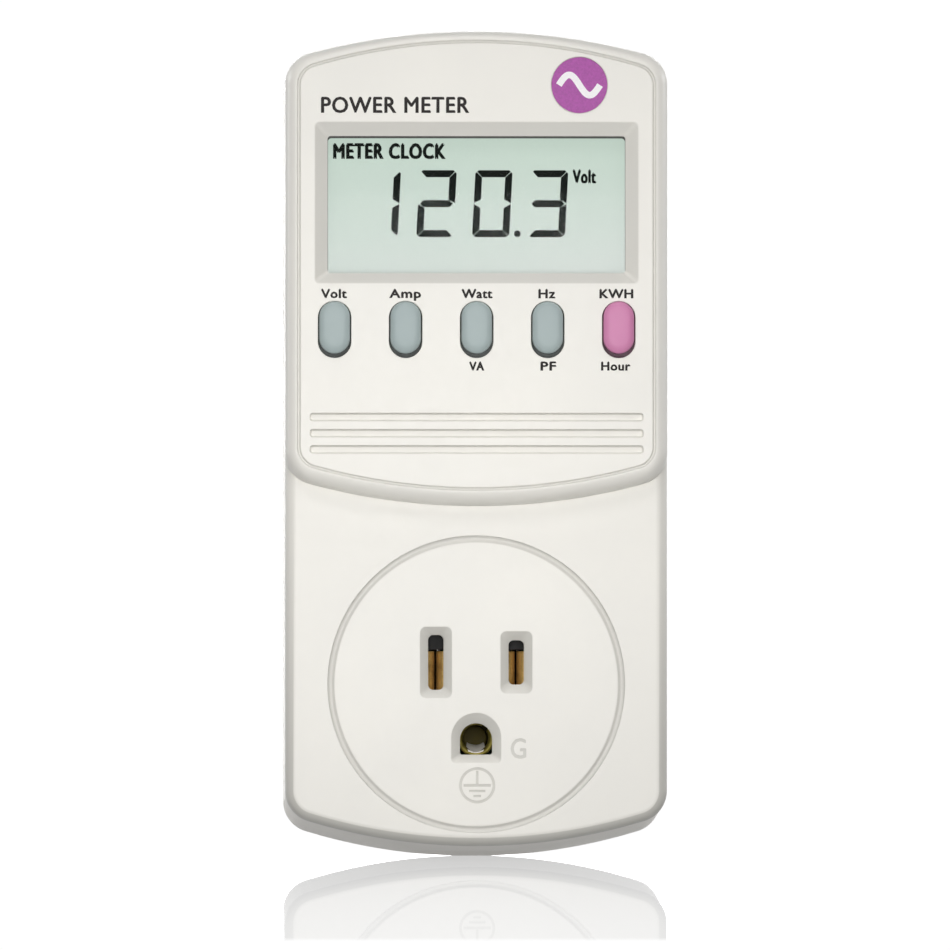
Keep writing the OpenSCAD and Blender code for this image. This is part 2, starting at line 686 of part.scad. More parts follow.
// a part lying along X, its axis at the given height over the board, with
// leads down to the board
module axial_part(at, radius, length, height) {
  reach = length / 2 + 1.3;
  y = board_y - height;
  rod(around(at.x, length / 2), y, at.y, radius, 24);
  rod(around(at.x, reach), y, at.y, 0.25, 16);
  for (side = sides)
    bar([at.x + side * reach, at.y], 0.35, [y - 0.4, board_y], 16);
}
module rectifier_diodes() color(black)
  for (i = [0:3]) axial_part([14, 60 + 3.6 * i], radius = 1.3, length = 5, height = 1.8);
module small_resistors() color([0.8, 0.68, 0.48])
  for (i = [0:4])
    axial_part([-15.5, 66 + 2.9 * i], radius = 1.1, length = 5.6, height = 1.6);

module amplifier_chip() color(black) {
  box([-21, -1.7], [board_y - 4, board_y - 0.6], [55, 61.4]);
  chip_legs(left = -19.2, width = 0.6, pitch = 2.54, count = 7,
    y = [board_y - 2.4, board_y], rows = [[54.2, 55.1], [61.3, 62.2]]);
}

// a round case with a flat on its upper side, on three legs
module voltage_regulator() color(black) {
  at = [1, 68];
  difference() {
    bar(at, 2.4, [board_y - 7, board_y - 2.4], 40);
    box(around(at.x, 4), [board_y - 8, board_y - 1], [69.4, 72]);
  }
  for (i = [-1:1]) bar([at.x + 1.27 * i, at.y], 0.25, [board_y - 2.5, board_y], 16);
}

// flat cable swept along a smooth S between the two headers
ribbon_steps = 16;
ribbon_half_t = [0, 0.45];
// [y, z] of the cable's middle, from the main header (0) to the display's (1)
function ribbon_mid(t) = [mix(board_y - header_h, display_back + header_h, t),
  mix(main_header_z, display_header_z, t * t * (3 - 2 * t))];
module ribbon_cable() color([0.75, 0.75, 0.76]) extrude_x(0, 12.7)
  polygon(concat(
    [for (i = [0:ribbon_steps]) ribbon_mid(i / ribbon_steps) + ribbon_half_t],
    [for (i = [0:ribbon_steps]) ribbon_mid(1 - i / ribbon_steps) - ribbon_half_t]));

// ---- fasteners and labels ----------------------------------------------
module case_screws() color(steel) screws(case_screw_at, seat = -16, dir = 1,
  head_r = 2.75, head_h = 2, shank_r = 1.45, length = 15);
module main_board_screws() color(steel) screws(board_screw_at, seat = board_y, dir = -1,
  head_r = 2.3, head_h = 1.6, shank_r = 1.2, length = 9);
module display_board_screws() color(steel)
  screws(display_screw_at, seat = display_back, dir = 1,
    head_r = 1.9, head_h = 1.3, shank_r = 1, length = 6.5);
module blade_clamp_screws() color(steel)
  screws(clamp_screw_at, seat = pad_y - clamp_t, dir = -1,
    head_r = 2.2, head_h = 1.6, shank_r = 1.2, length = 7.5);
module contact_block_screws() color(steel)
  screws(block_screw_at, seat = block_front + ear_t, dir = 1,
    head_r = 2, head_h = 1.4, shank_r = 1, length = 4.6);

module rear_label() color([0.78, 0.79, 0.8])
  box(around(0, label_half_w - 0.2), [-0.3, -0.12], label_z + [0.2, -0.2]);
module front_badge() color([0.68, 0.35, 0.65])
  bar(badge_at, badge_recess_r - 0.1, [deck_y + 0.02, deck_y + 0.25]);

front_shell();
rear_shell();
display_window();
window_tape();
lcd_frame();
lcd_glass();
lcd_reflector();
zebra_strip();
display_board();
controller_chip();
memory_chip();
clock_crystal();
display_header();
button_volt();
button_amp();
button_watt();
button_hz();
button_kwh();
plunger_volt();
plunger_amp();
plunger_watt();
plunger_hz();
plunger_kwh();
switch_bodies();
outlet_face();
contact_block();
hot_contact();
neutral_contact();
ground_contact();
plug_blade_hot();
plug_blade_neutral();
plug_ground_pin();
blade_clamp();
main_board();
shunt_strip();
dropper_capacitor();
surge_varistor();
smoothing_capacitors();
dropper_resistor();
rectifier_diodes();
amplifier_chip();
voltage_regulator();
small_resistors();
main_header();
ribbon_cable();
case_screws();
main_board_screws();
display_board_screws();
blade_clamp_screws();
contact_block_screws();
rear_label();
front_badge();
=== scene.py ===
import math
from contextlib import contextmanager
from functools import cached_property

import bmesh
import bpy
from mathutils import Matrix, Vector

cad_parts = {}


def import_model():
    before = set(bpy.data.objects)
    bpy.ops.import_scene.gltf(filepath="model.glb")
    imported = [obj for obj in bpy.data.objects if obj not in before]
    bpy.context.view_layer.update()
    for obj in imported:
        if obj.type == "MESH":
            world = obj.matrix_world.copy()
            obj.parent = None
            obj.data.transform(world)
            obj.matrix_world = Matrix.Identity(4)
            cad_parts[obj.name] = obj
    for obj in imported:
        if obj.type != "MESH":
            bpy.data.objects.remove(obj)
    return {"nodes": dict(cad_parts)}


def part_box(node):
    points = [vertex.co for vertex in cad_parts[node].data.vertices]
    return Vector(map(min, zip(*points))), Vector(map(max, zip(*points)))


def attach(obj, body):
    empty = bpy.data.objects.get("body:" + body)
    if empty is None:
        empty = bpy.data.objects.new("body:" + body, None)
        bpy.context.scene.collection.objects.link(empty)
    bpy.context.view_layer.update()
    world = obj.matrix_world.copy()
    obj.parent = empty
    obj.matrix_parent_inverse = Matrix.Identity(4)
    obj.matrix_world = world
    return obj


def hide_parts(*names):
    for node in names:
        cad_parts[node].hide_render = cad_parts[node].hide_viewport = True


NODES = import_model()["nodes"]
MM = 0.001
BODY = "meter_case"


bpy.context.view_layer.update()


# ---------------------------------------------------------------- driving dimensions
def box(node):
    low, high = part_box(node)
    return low / MM, high / MM


rear_low, rear_high = box("rear_shell")
outlet_low, outlet_high = box("outlet_face")
tape_low, tape_high = box("window_tape")
frame_low, frame_high = box("lcd_frame")
badge_low, badge_high = box("front_badge")
cap_low, cap_high = box("button_watt")
label_low, label_high = box("rear_label")
ground_low = box("ground_contact")[0]

# case
HALF_W = rear_high.x
TOP_Z = rear_high.z
BOTTOM_Z = rear_low.z
DECK_Y = box("front_shell")[0].y    # front of the upper deck
LOWER_Y = outlet_low.y              # front of the lower deck
PARTING_Y = rear_low.y + 2.0        # where the two shells meet
WALL = 2.0
DECK_IN_Y = DECK_Y + WALL
LOWER_IN_Y = LOWER_Y + WALL
EDGE_R = 1.8
DRAFT = 1.7                         # the underside drops this far towards the back plate
DECK_Z = 24.65                      # bottom of the upper deck
CORNER_R = 5.0
MIN_CORNER_R = 0.8
TOP_BOW_R, BOTTOM_BOW_R, DECK_BOW_R = 102.3, 91, 101
PROUD = 0.012                       # the deck stands this far outside the case
# display
LCD_Z = (frame_low.z + frame_high.z) / 2
LCD_W, LCD_H, BEZEL_W, BEZEL_DEPTH = 47.0, 21.6, 2.0, 1.72
GLASS_Y = box("lcd_glass")[0].y
# outlet and plug
FLANGE_R, RING_R, SOCKET_R = 24.7, 23.45, 22.55
SOCKET_Z = outlet_high.z - FLANGE_R
BLADE_X = 6.35
PIN_Z = -11.9
# buttons
BUTTON_Z = (cap_low.z + cap_high.z) / 2
CAP_Y = cap_low.y                   # front of the caps
BUTTON_PITCH = 11.2
# screws and stakes, mirrored across x = 0
CASE_SCREW_X, CASE_SCREW_ZS = 23.8, (90.5, -19.5)
BOARD_SCREW_X, BOARD_SCREW_ZS = 23, (22, 74)
DISPLAY_SCREWS = ((24, 44.6), (18, 90))
OUTLET_STAKES = ((16.6, 17), (25.6, -9.1))
# grooves below the buttons
GROOVE_Z, GROOVE_PITCH = 38.61, 2.55


# ---------------------------------------------------------------- outlines, as (x, z) points
def arc(x, z, radius, start, end, steps):
    angles = [math.radians(start + (end - start) * i / steps) for i in range(steps + 1)]
    return [(x + radius * math.cos(a), z + radius * math.sin(a)) for a in angles]


def circle(x, z, radius, steps):
    angles = [2 * math.pi * i / steps for i in range(steps)]
    return [(x + radius * math.cos(a), z + radius * math.sin(a)) for a in angles]


def rect(x0, x1, z0, z1):
    return [(x0, z0), (x1, z0), (x1, z1), (x0, z1)]


def rounded_rect(x, z, width, height, radius, steps=8):
    """Rounded rectangle about (x, z), counter-clockwise."""
    radius = max(min(radius, width / 2 - 1e-4, height / 2 - 1e-4), 1e-3)
    points = []
    for side, up, start in ((1, 1, 0), (-1, 1, 90), (-1, -1, 180), (1, -1, 270)):
        points += arc(x + side * (width / 2 - radius), z + up * (height / 2 - radius),
                      radius, start, start + 90, steps)
    return points


def growing_circle(x, z, radius, steps):
    return lambda grow: circle(x, z, radius + grow, steps)


def growing_rect(x, z, width, height, radius, steps=8):
    return lambda grow: rounded_rect(x, z, width + 2 * grow, height + 2 * grow,
                                     radius + grow, steps)


def panel(half, top, top_r, bottom, bottom_r, corner):
    """Upright panel with bowed ends and rounded corners."""
    corner_steps, bow_steps = 16, 64
    top_centre, bottom_centre = top - top_r, bottom + bottom_r
    corner_x = half - corner
    upper = top_centre + math.sqrt((top_r - corner) ** 2 - corner_x ** 2)
    lower = bottom_centre - math.sqrt((bottom_r - corner) ** 2 - corner_x ** 2)
    up = math.degrees(math.atan2(upper - top_centre, corner_x))
    down = math.degrees(math.atan2(bottom_centre - lower, corner_x))
    return (arc(corner_x, upper, corner, 0, up, corner_steps)
            + arc(0, top_centre, top_r, up, 180 - up, bow_steps)[1:-1]
            + arc(-corner_x, upper, corner, 180 - up, 180, corner_steps)
            + arc(-corner_x, lower, corner, 180, 180 + down, corner_steps)
            + arc(0, bottom_centre, bottom_r, 180 + down, 360 - down, bow_steps)[1:-1]
            + arc(corner_x, lower, corner, 360 - down, 360, corner_steps))


def case_outline(inset, draft=DRAFT):
    return panel(HALF_W - inset, TOP_Z - inset, TOP_BOW_R - inset, BOTTOM_Z + draft + inset,
                 BOTTOM_BOW_R - inset, max(CORNER_R - inset, MIN_CORNER_R))


def back_outline(inset):
    return case_outline(inset, draft=0)


def deck_outline(inset):
    return panel(HALF_W + PROUD - inset, TOP_Z + PROUD - inset, TOP_BOW_R + PROUD - inset,
                 DECK_Z + inset, DECK_BOW_R - inset, max(CORNER_R + PROUD - inset, MIN_CORNER_R))


def line_outline(inset):
    """The engraved line around the upper deck."""
    side, top, bottom = 1.88, 1.5, 2.4      # distance from the deck's edges
    return panel(HALF_W - side - inset, TOP_Z - top - inset, 90.4 - inset,
                 DECK_Z + bottom + inset, 96 - inset, 3.5 - inset)


def blend(start, end, share):
    return [(p[0] * (1 - share) + q[0] * share, p[1] * (1 - share) + q[1] * share)
            for p, q in zip(start, end)]


def ground_outline(width, up, down, corner):
    """The ground opening about the pin: round side up, small corners below."""
    half, steps, corner_steps = width / 2, 24, 6
    low = PIN_Z - down + corner
    return (arc(0, PIN_Z + up - half, half, 0, 180, steps)
            + arc(-half + corner, low, corner, 180, 270, corner_steps)
            + arc(half - corner, low, corner, 270, 360, corner_steps))


def inside(points, x, z):
    hit, j = False, len(points) - 1
    for i, (xi, zi) in enumerate(points):
        xj, zj = points[j]
        if (zi > z) != (zj > z) and x < (xj - xi) * (z - zi) / (zj - zi) + xi:
            hit = not hit
        j = i
    return hit


def quarter(steps):
    """(1 - cos, sin) at even steps through a quarter turn, both ends included."""
    angles = [math.radians(90 * k / steps) for k in range(steps + 1)]
    return [(1 - math.cos(a), math.sin(a)) for a in angles]


# ---------------------------------------------------------------- meshes
COLLECTION = bpy.context.scene.collection


def link(name, data):
    piece = bpy.data.objects.new(name, data)
    COLLECTION.objects.link(piece)
    return piece


@contextmanager
def editing(mesh):
    edit = bmesh.new()
    edit.from_mesh(mesh)
    yield edit
    edit.to_mesh(mesh)
    edit.free()


def from_faces(verts, faces, name="tool"):
    mesh = bpy.data.meshes.new(name)
    mesh.from_pydata([(x * MM, y * MM, z * MM) for x, y, z in verts], [], faces)
    with editing(mesh) as edit:
        bmesh.ops.remove_doubles(edit, verts=edit.verts, dist=1e-8)
        bmesh.ops.recalc_face_normals(edit, faces=edit.faces)
    return link(name, mesh)


def tube_faces(rings, count, start=0, closed=False):
    """Faces joining successive rings of `count` vertices, capped unless closed on itself."""
    faces = []
    for k in range(rings if closed else rings - 1):
        near, far = start + k * count, start + ((k + 1) % rings) * count
        for i in range(count):
            j = (i + 1) % count
            faces.append((near + i, far + i, far + j, near + j))
    if not closed:
        faces.append(tuple(start + i for i in range(count)))
        faces.append(tuple(start + (rings - 1) * count + i for i in reversed(range(count))))
    return faces


def loft(rings, name="tool", closed=False):
    """A skin through rings of equal point count: [(y, points)]."""
    verts = [(x, y, z) for y, points in rings for x, z in points]
    return from_faces(verts, tube_faces(len(rings), len(rings[0][1]), closed=closed), name)


def prisms(outlines, y0, y1, name="tool"):
    verts, faces = [], []
    for points in outlines:
        faces += tube_faces(2, len(points), start=len(verts))
        verts += [(x, y, z) for y in (y0, y1) for x, z in points]
    return from_faces(verts, faces, name)


def prism(points, y0, y1, name="tool"):
    return prisms([points], y0, y1, name)


def cylinder(x, z, radius, y0, y1, steps):
    return prism(circle(x, z, radius, steps), y0, y1)


def frame(outer, inner, y0, y1, name):
    return loft([(y0, outer), (y1, outer), (y1, inner), (y0, inner)], name, closed=True)


def apply_modifiers(piece):
    bpy.context.view_layer.update()
    depsgraph = bpy.context.evaluated_depsgraph_get()
    mesh = bpy.data.meshes.new_from_object(piece.evaluated_get(depsgraph),
                                           preserve_all_data_layers=True, depsgraph=depsgraph)
    piece.modifiers.clear()
    old = piece.data
    piece.data = mesh
    mesh.name = piece.name
    bpy.data.meshes.remove(old)


def boolean(piece, tools, operation="DIFFERENCE"):
    """Applies the tools in order and deletes them."""
    for tool in tools:
        modifier = piece.modifiers.new("boolean", "BOOLEAN")
        modifier.operation = operation
        modifier.solver = "EXACT"
        modifier.object = tool
    apply_modifiers(piece)
    for tool in tools:
        mesh = tool.data
        bpy.data.objects.remove(tool)
        bpy.data.meshes.remove(mesh)


def smooth(piece, angle, weighted=True):
    with editing(piece.data) as edit:
        bmesh.ops.remove_doubles(edit, verts=edit.verts, dist=3e-7)
        bmesh.ops.dissolve_degenerate(edit, edges=edit.edges, dist=1e-7)
        loose = [v for v in edit.verts if not v.link_faces]
        bmesh.ops.delete(edit, geom=loose, context="VERTS")
        for face in edit.faces:
            face.smooth = True
    piece.data.set_sharp_from_angle(angle=math.radians(angle))
    if weighted:
        modifier = piece.modifiers.new("weighted", "WEIGHTED_NORMAL")
        modifier.mode = "FACE_AREA"
        modifier.keep_sharp = True
        modifier.weight = 50
        apply_modifiers(piece)


LEAD = 0.25         # cutters start this far before the face they cut


def hole_rings(shape, y, fillet, depth, steps=5):
    """Rings of a cutter whose rim at y is rounded; shape(grow) is the outline grown."""
    rings = [(y - LEAD, shape(fillet)), (y - 0.003, shape(fillet))]
    rings += [(y + fillet * drop, shape(fillet * (1 - sine)))
              for drop, sine in quarter(steps)[1:]]
    return rings + [(y + depth, shape(0))]


def slope_rings(shape, y, width, depth, fillet):
    """Rings of a cutter sloping from `width` outside the opening, with a rounded brow."""
    steps = 4
    slope = math.atan2(depth, width)
    brow = width + fillet * math.tan(slope / 2)
    rings = [(y - LEAD, shape(brow)), (y - 0.002, shape(brow))]
    for k in range(1, steps + 1):
        angle = slope * k / steps
        rings.append((y + fillet * (1 - math.cos(angle)),
                      shape(brow - fillet * math.sin(angle))))
    return rings


def paint(piece, painted_shade):
    """Stores how much painted shade each vertex gets, 0 to 1, for the materials to read."""
    shade = piece.data.attributes.new("shade", "FLOAT", "POINT")
    shade.data.foreach_set("value", [float(painted_shade(v.co.x / MM, v.co.y / MM, v.co.z / MM))
                                     for v in piece.data.vertices])


def clamp(value):
    return min(max(value, 0.0), 1.0)


# ---------------------------------------------------------------- shader building
MATERIALS = {}


def linear(rgb):
    """8-bit sRGB to linear."""
    shares = [c / 255 for c in rgb]
    return [c / 12.92 if c <= 0.04045 else ((c + 0.055) / 1.055) ** 2.4 for c in shares]


class Shader:
    """Builds the node tree of a material or world."""

    def __init__(self, owner, output="ShaderNodeOutputMaterial"):
        owner.use_nodes = True
        self.tree = owner.node_tree
        self.tree.nodes.clear()
        self.output = self.add(output)

    @cached_property
    def coords(self):
        return self.add("ShaderNodeTexCoord").outputs["Object"]

    def feed(self, socket, value):
        """Links a socket, or sets a number, colour or vector; None leaves the default."""
        if isinstance(value, bpy.types.NodeSocket):
            self.tree.links.new(value, socket)
        elif value is not None:
            socket.default_value = (*value, 1) if socket.type == "RGBA" else value

    def add(self, kind, inputs={}, **options):
        node = self.tree.nodes.new(kind)
        for key, value in options.items():
            setattr(node, key, value)
        for key, value in inputs.items():
            self.feed(node.inputs[key], value)
        return node

    def noise(self, scale, detail=3, rough=0.5, stretch=None, offset=None):
        place = self.add("ShaderNodeMapping",
                         {"Vector": self.coords, "Scale": stretch, "Location": offset})
        return self.add("ShaderNodeTexNoise",
                        {"Scale": scale, "Detail": detail, "Roughness": rough,
                         "Vector": place.outputs["Vector"]}).outputs["Fac"]

    def voronoi(self, scale, feature, randomness=1.0):
        return self.add("ShaderNodeTexVoronoi",
                        {"Scale": scale, "Randomness": randomness, "Vector": self.coords},
                        feature=feature).outputs["Distance"]

    def ramp(self, value, span=(0.3, 0.7), to=(0.0, 1.0)):
        return self.add("ShaderNodeMapRange",
                        {"From Min": span[0], "From Max": span[1], "To Min": to[0],
                         "To Max": to[1], "Value": value}).outputs["Result"]

    def mix(self, share, first, second, blend_type="MIX"):
        return self.add("ShaderNodeMix", {0: share, 6: first, 7: second},
                        data_type="RGBA", blend_type=blend_type).outputs[2]

    def multiply(self, color, factors):
        return self.mix(1.0, color, factors, "MULTIPLY")

    def calc(self, operation, first, second):
        return self.add("ShaderNodeMath", {0: first, 1: second}, operation=operation).outputs[0]

    def component(self, vector, axis):
        return self.add("ShaderNodeSeparateXYZ", {0: vector}).outputs[axis]

    def shade(self):
        return self.add("ShaderNodeAttribute", attribute_type="GEOMETRY",
                        attribute_name="shade").outputs["Fac"]

    def bump(self, height, distance, strength, normal=None):
        """Bump of a distance in millimetres, on top of another normal if given."""
        return self.add("ShaderNodeBump",
                        {"Distance": distance * MM, "Strength": strength, "Height": height,
                         "Normal": normal}).outputs["Normal"]

    def emission(self, color, strength):
        return self.add("ShaderNodeEmission",
                        {"Color": color, "Strength": strength}).outputs[0]

    def mix_shader(self, share, first, second):
        return self.add("ShaderNodeMixShader", {0: share, 1: first, 2: second}).outputs[0]

    def finish(self, shader):
        self.feed(self.output.inputs[0], shader)

    def principled(self, color, rough, normal, metallic=0.0, more={}):
        self.finish(self.add("ShaderNodeBsdfPrincipled",
                             {"Base Color": color, "Roughness": rough, "Metallic": metallic,
                              "Normal": normal, **more}).outputs[0])


def new_material(name):
    MATERIALS[name] = bpy.data.materials.new(name)
    return Shader(MATERIALS[name])


# ---------------------------------------------------------------- material recipes
def moulded(name, rgb, rough, grain=0.5, mottle=0.02, grime_and_shade=0.0, reach=0.5, tint=0.5):
    """Moulded plastic: fine grain, faint mottling, painted shade from the vertex shade attribute,
    and grime with painted shade within `reach` mm of corners.
    """
    mat = new_material(name)
    base = linear(rgb)
    flow = mat.noise(scale=38, detail=4, rough=0.55)
    cloud = mat.noise(scale=420, rough=0.6, offset=(3.1, 1.7, 9.2))
    fine = mat.noise(scale=5200, detail=2, rough=0.7)
    dark = [c * (1 - mottle * 2.4) for c in base]
    warm = [base[0] * (1 + mottle), base[1] * (1 + mottle * 0.8), base[2] * (1 + mottle * 0.2)]
    color = mat.mix(mat.ramp(flow), dark, warm)
    color = mat.mix(mat.ramp(cloud, span=(0.35, 0.75), to=(0.0, 0.35)), color,
                    [c * (1 - mottle * 1.6) for c in base])
    # painted shade: darkens towards tint times the colour where the shade attribute is set
    color = mat.mix(mat.shade(), color, mat.multiply(color, (tint, tint, tint * 0.985)))
    if grime_and_shade > 0:
        # ambient occlusion darkens corners, creases and grooves: partly grime, partly painted
        # shade
        corners = mat.add("ShaderNodeAmbientOcclusion", {"Distance": reach * MM}, samples=8)
        dirt_and_shade = mat.ramp(corners.outputs["AO"], span=(0.35, 0.95), to=(grime_and_shade, 0.0))
        speck = mat.ramp(mat.noise(scale=1500, rough=0.6, offset=(7, 2, 5)), to=(0.6, 1.0))
        color = mat.mix(mat.calc("MULTIPLY", dirt_and_shade, speck), color,
                        [base[0] * 0.52, base[1] * 0.49, base[2] * 0.43])
    sheen = mat.noise(scale=900, rough=0.6, offset=(1, 8, 3))
    normal = mat.bump(fine, distance=0.012, strength=grain)
    normal = mat.bump(flow, distance=0.05, strength=0.25, normal=normal)
    mat.principled(color, mat.ramp(sheen, to=(rough - 0.05, rough + 0.06)), normal,
                   more={"Specular IOR Level": 0.4})


def metal(name, rgb, tarnish, rough, scale=300, amount=0.5, brushed=None, metallic=1.0,
          shaded_in_front_of=None):
    """Tarnished metal, darkened with painted shade and dulled where its shade attribute is set
    or, if a y is given, in front of that y.
    """
    mat = new_material(name)
    patches = mat.noise(scale=scale, detail=4, rough=0.6)
    fine = mat.noise(scale=scale * 9, rough=0.6, stretch=brushed)
    color = mat.mix(mat.ramp(patches, span=(0.42, 0.72), to=(0.0, amount)),
                    linear(rgb), linear(tarnish))
    color = mat.mix(mat.ramp(fine, to=(0.0, 0.25)), color, linear(tarnish))
    if shaded_in_front_of is None:
        shade_and_dull = mat.shade()
    else:
        shade_and_dull = mat.ramp(mat.component(mat.coords, "Y"),
                        span=(shaded_in_front_of * MM, (shaded_in_front_of - 2) * MM))
    # painted shade: the colour falls to about 3 percent where the mask is full
    color = mat.mix(shade_and_dull, color, mat.multiply(color, (0.03, 0.03, 0.025)))
    roughness = mat.calc("MAXIMUM", mat.ramp(fine, to=(rough - 0.06, rough + 0.12)),
                         mat.calc("MULTIPLY", shade_and_dull, 0.95))
    mat.principled(color, roughness, mat.bump(fine, distance=0.006, strength=0.5), metallic)


def epoxy(name, rgb, rough):
    """Plain coated or cast surface with slightly varied tone."""
    mat = new_material(name)
    scale, variation = 700, 0.12
    patches = mat.noise(scale=scale, detail=4, rough=0.6)
    fine = mat.noise(scale=scale * 6, detail=2, rough=0.6)
    base = linear(rgb)
    color = mat.mix(mat.ramp(patches), [c * (1 - variation) for c in base],
                    [min(c * (1 + variation) + 0.002, 1) for c in base])
    mat.principled(color, mat.ramp(patches, to=(rough - 0.06, rough + 0.06)),
                   mat.bump(fine, distance=0.01, strength=0.4))


def board(name):
    """Green solder mask over copper tracks, with tinned pads."""
    mat = new_material(name)
    tracks = mat.ramp(mat.voronoi(scale=230, feature="DISTANCE_TO_EDGE"),
                      span=(0.03, 0.06), to=(1.0, 0.0))
    pads = mat.ramp(mat.voronoi(scale=260, feature="F1", randomness=0.35),
                    span=(0.16, 0.19), to=(1.0, 0.0))
    color = mat.mix(mat.ramp(mat.noise(scale=2500)), linear((22, 84, 48)), linear((30, 104, 60)))
    color = mat.mix(tracks, color, linear((44, 134, 72)))
    color = mat.mix(pads, color, linear((176, 178, 172)))
    relief = mat.calc("MAXIMUM", tracks, pads)
    mat.principled(color, 0.32, mat.bump(relief, distance=0.03, strength=0.6))


def ribbon(name):
    """Grey flat cable, banded across X."""
    mat = new_material(name)
    wires = mat.add("ShaderNodeTexWave", {"Scale": 250, "Distortion": 0.0, "Vector": mat.coords},
                    wave_type="BANDS", bands_direction="X").outputs["Fac"]
    color = mat.mix(wires, linear((120, 122, 124)), linear((186, 188, 190)))
    mat.principled(color, 0.45, mat.bump(wires, distance=0.2, strength=0.8))


def clear_window(name):
    """Clear acrylic: light passes, with a weak reflection and faint rubbed haze."""
    mat = new_material(name)
    tint = mat.mix(mat.ramp(mat.noise(scale=60)), (0.985, 0.99, 0.985), (0.97, 0.98, 0.975))
    haze = mat.ramp(mat.noise(scale=1800, detail=4, rough=0.7, stretch=(1, 1, 6)),
                    span=(0.45, 0.8), to=(0.03, 0.12))
    through = mat.add("ShaderNodeBsdfTransparent", {"Color": tint}).outputs[0]
    gloss = mat.add("ShaderNodeBsdfGlossy", {"Roughness": haze}).outputs[0]
    fresnel = mat.add("ShaderNodeFresnel", {"IOR": 1.09}).outputs[0]
    mat.finish(mat.mix_shader(fresnel, through, gloss))


def lcd_surface(name):
    """Pale green-grey display, with painted shade a hair darker at the top and a painted glow."""
    bottom, top = linear((224, 229, 226)), linear((206, 224, 212))
    cloud, speck = linear((206, 221, 212)), linear((120, 132, 120))
    scattered, painted_glow = 0.45, 0.56    # share of scattered light, and the strength of the painted glow
    mat = new_material(name)
    # painted shade: darker towards the top
    height = mat.ramp(mat.component(mat.coords, "Z"),
                      span=((LCD_Z - LCD_H / 2) * MM, (LCD_Z + LCD_H / 2) * MM))
    color = mat.mix(height, bottom, top)
    sparkle = mat.ramp(mat.noise(scale=6500, detail=2, rough=0.7))
    color = mat.mix(mat.ramp(mat.noise(scale=26), to=(0.0, 0.5)), color, cloud)
    color = mat.mix(mat.ramp(mat.noise(scale=5200, detail=2, rough=0.8),
                             span=(0.35, 0.65), to=(0.0, 0.05)), color, speck)
    # painted glow: the surface emits its own colour
    mat.principled(mat.multiply(color, (scattered,) * 3), 0.36,
                   mat.bump(sparkle, distance=0.004, strength=0.4),
                   more={"Specular IOR Level": 0.1, "Emission Color": color,
                         "Emission Strength": painted_glow})


def ink(name, rgb, rough=0.5, specular=0.3):
    """Printed ink with slightly uneven cover."""
    mat = new_material(name)
    base = linear(rgb)
    cover = mat.noise(scale=2600, rough=0.7)
    color = mat.mix(mat.ramp(cover, span=(0.3, 0.75)), base,
                    [min(c * 1.35 + 0.006, 1) for c in base])
    mat.principled(color, mat.ramp(cover, to=(rough - 0.08, rough + 0.1)),
                   mat.bump(cover, distance=0.004, strength=0.5),
                   more={"Specular IOR Level": specular})


def brushed_label(name):
    mat = new_material(name)
    streaks = mat.noise(scale=900, rough=0.6, stretch=(1, 1, 60))
    color = mat.mix(mat.ramp(streaks), linear((176, 178, 180)), linear((205, 206, 208)))
    mat.principled(color, mat.ramp(streaks, to=(0.32, 0.46)),
                   mat.bump(streaks, distance=0.004, strength=0.5), metallic=0.55)


# mottling, grime with painted shade in corners, and how far painted shade darkens the flanges
# (tint)
BUTTON_SURFACE_AND_SHADE = dict(mottle=0.03, grime_and_shade=0.3, tint=0.12)

moulded("case_front", (240, 238, 232), rough=0.4, grain=0.35, mottle=0.014, grime_and_shade=0.15,
        reach=0.8)
moulded("case_back", (236, 233, 227), rough=0.46, grain=0.7, mottle=0.018, grime_and_shade=0.3, reach=1.0)
moulded("outlet_plastic", (241, 239, 233), rough=0.38, grain=0.6, grime_and_shade=0.12, reach=0.7)
clear_window("window_clear")
epoxy("tape_black", (52, 54, 50), rough=0.6)
moulded("frame_plastic", (214, 214, 208), rough=0.45, grain=0.6)
lcd_surface("lcd_glass")
metal("lcd_silver", (198, 202, 198), (160, 166, 162), rough=0.4)
epoxy("zebra_rubber", (78, 78, 82), rough=0.7)
board("board_green")
epoxy("chip_black", (28, 28, 30), rough=0.5)
metal("crystal_can", (196, 198, 200), (150, 150, 150), rough=0.25)
moulded("header_cream", (226, 222, 206), rough=0.42)
moulded("button_grey", (168, 182, 183), rough=0.5, **BUTTON_SURFACE_AND_SHADE)
moulded("button_pink", (214, 137, 181), rough=0.48, **BUTTON_SURFACE_AND_SHADE)
epoxy("plunger_black", (36, 36, 38), rough=0.45)
epoxy("switch_dark", (52, 52, 56), rough=0.5)
# dark olive for the disc that stands in for shade deep in the ground sleeve
epoxy("ground_shade_disc", (92, 80, 14), rough=0.7)
# near black: the contact block, and the blocks that stand in for shade behind the slots
epoxy("block_black", (4, 4, 4), rough=0.75)
metal("contact_brass", (216, 182, 116), (146, 112, 60), rough=0.4, scale=420, amount=0.7,
      metallic=0.6)
metal("contact_olive", (150, 138, 66), (58, 50, 18), rough=0.42, scale=520, amount=0.8,
      metallic=0.8)
metal("contact_tin", (226, 222, 216), (176, 172, 164), rough=0.5, scale=700, amount=0.6,
      metallic=0.15)
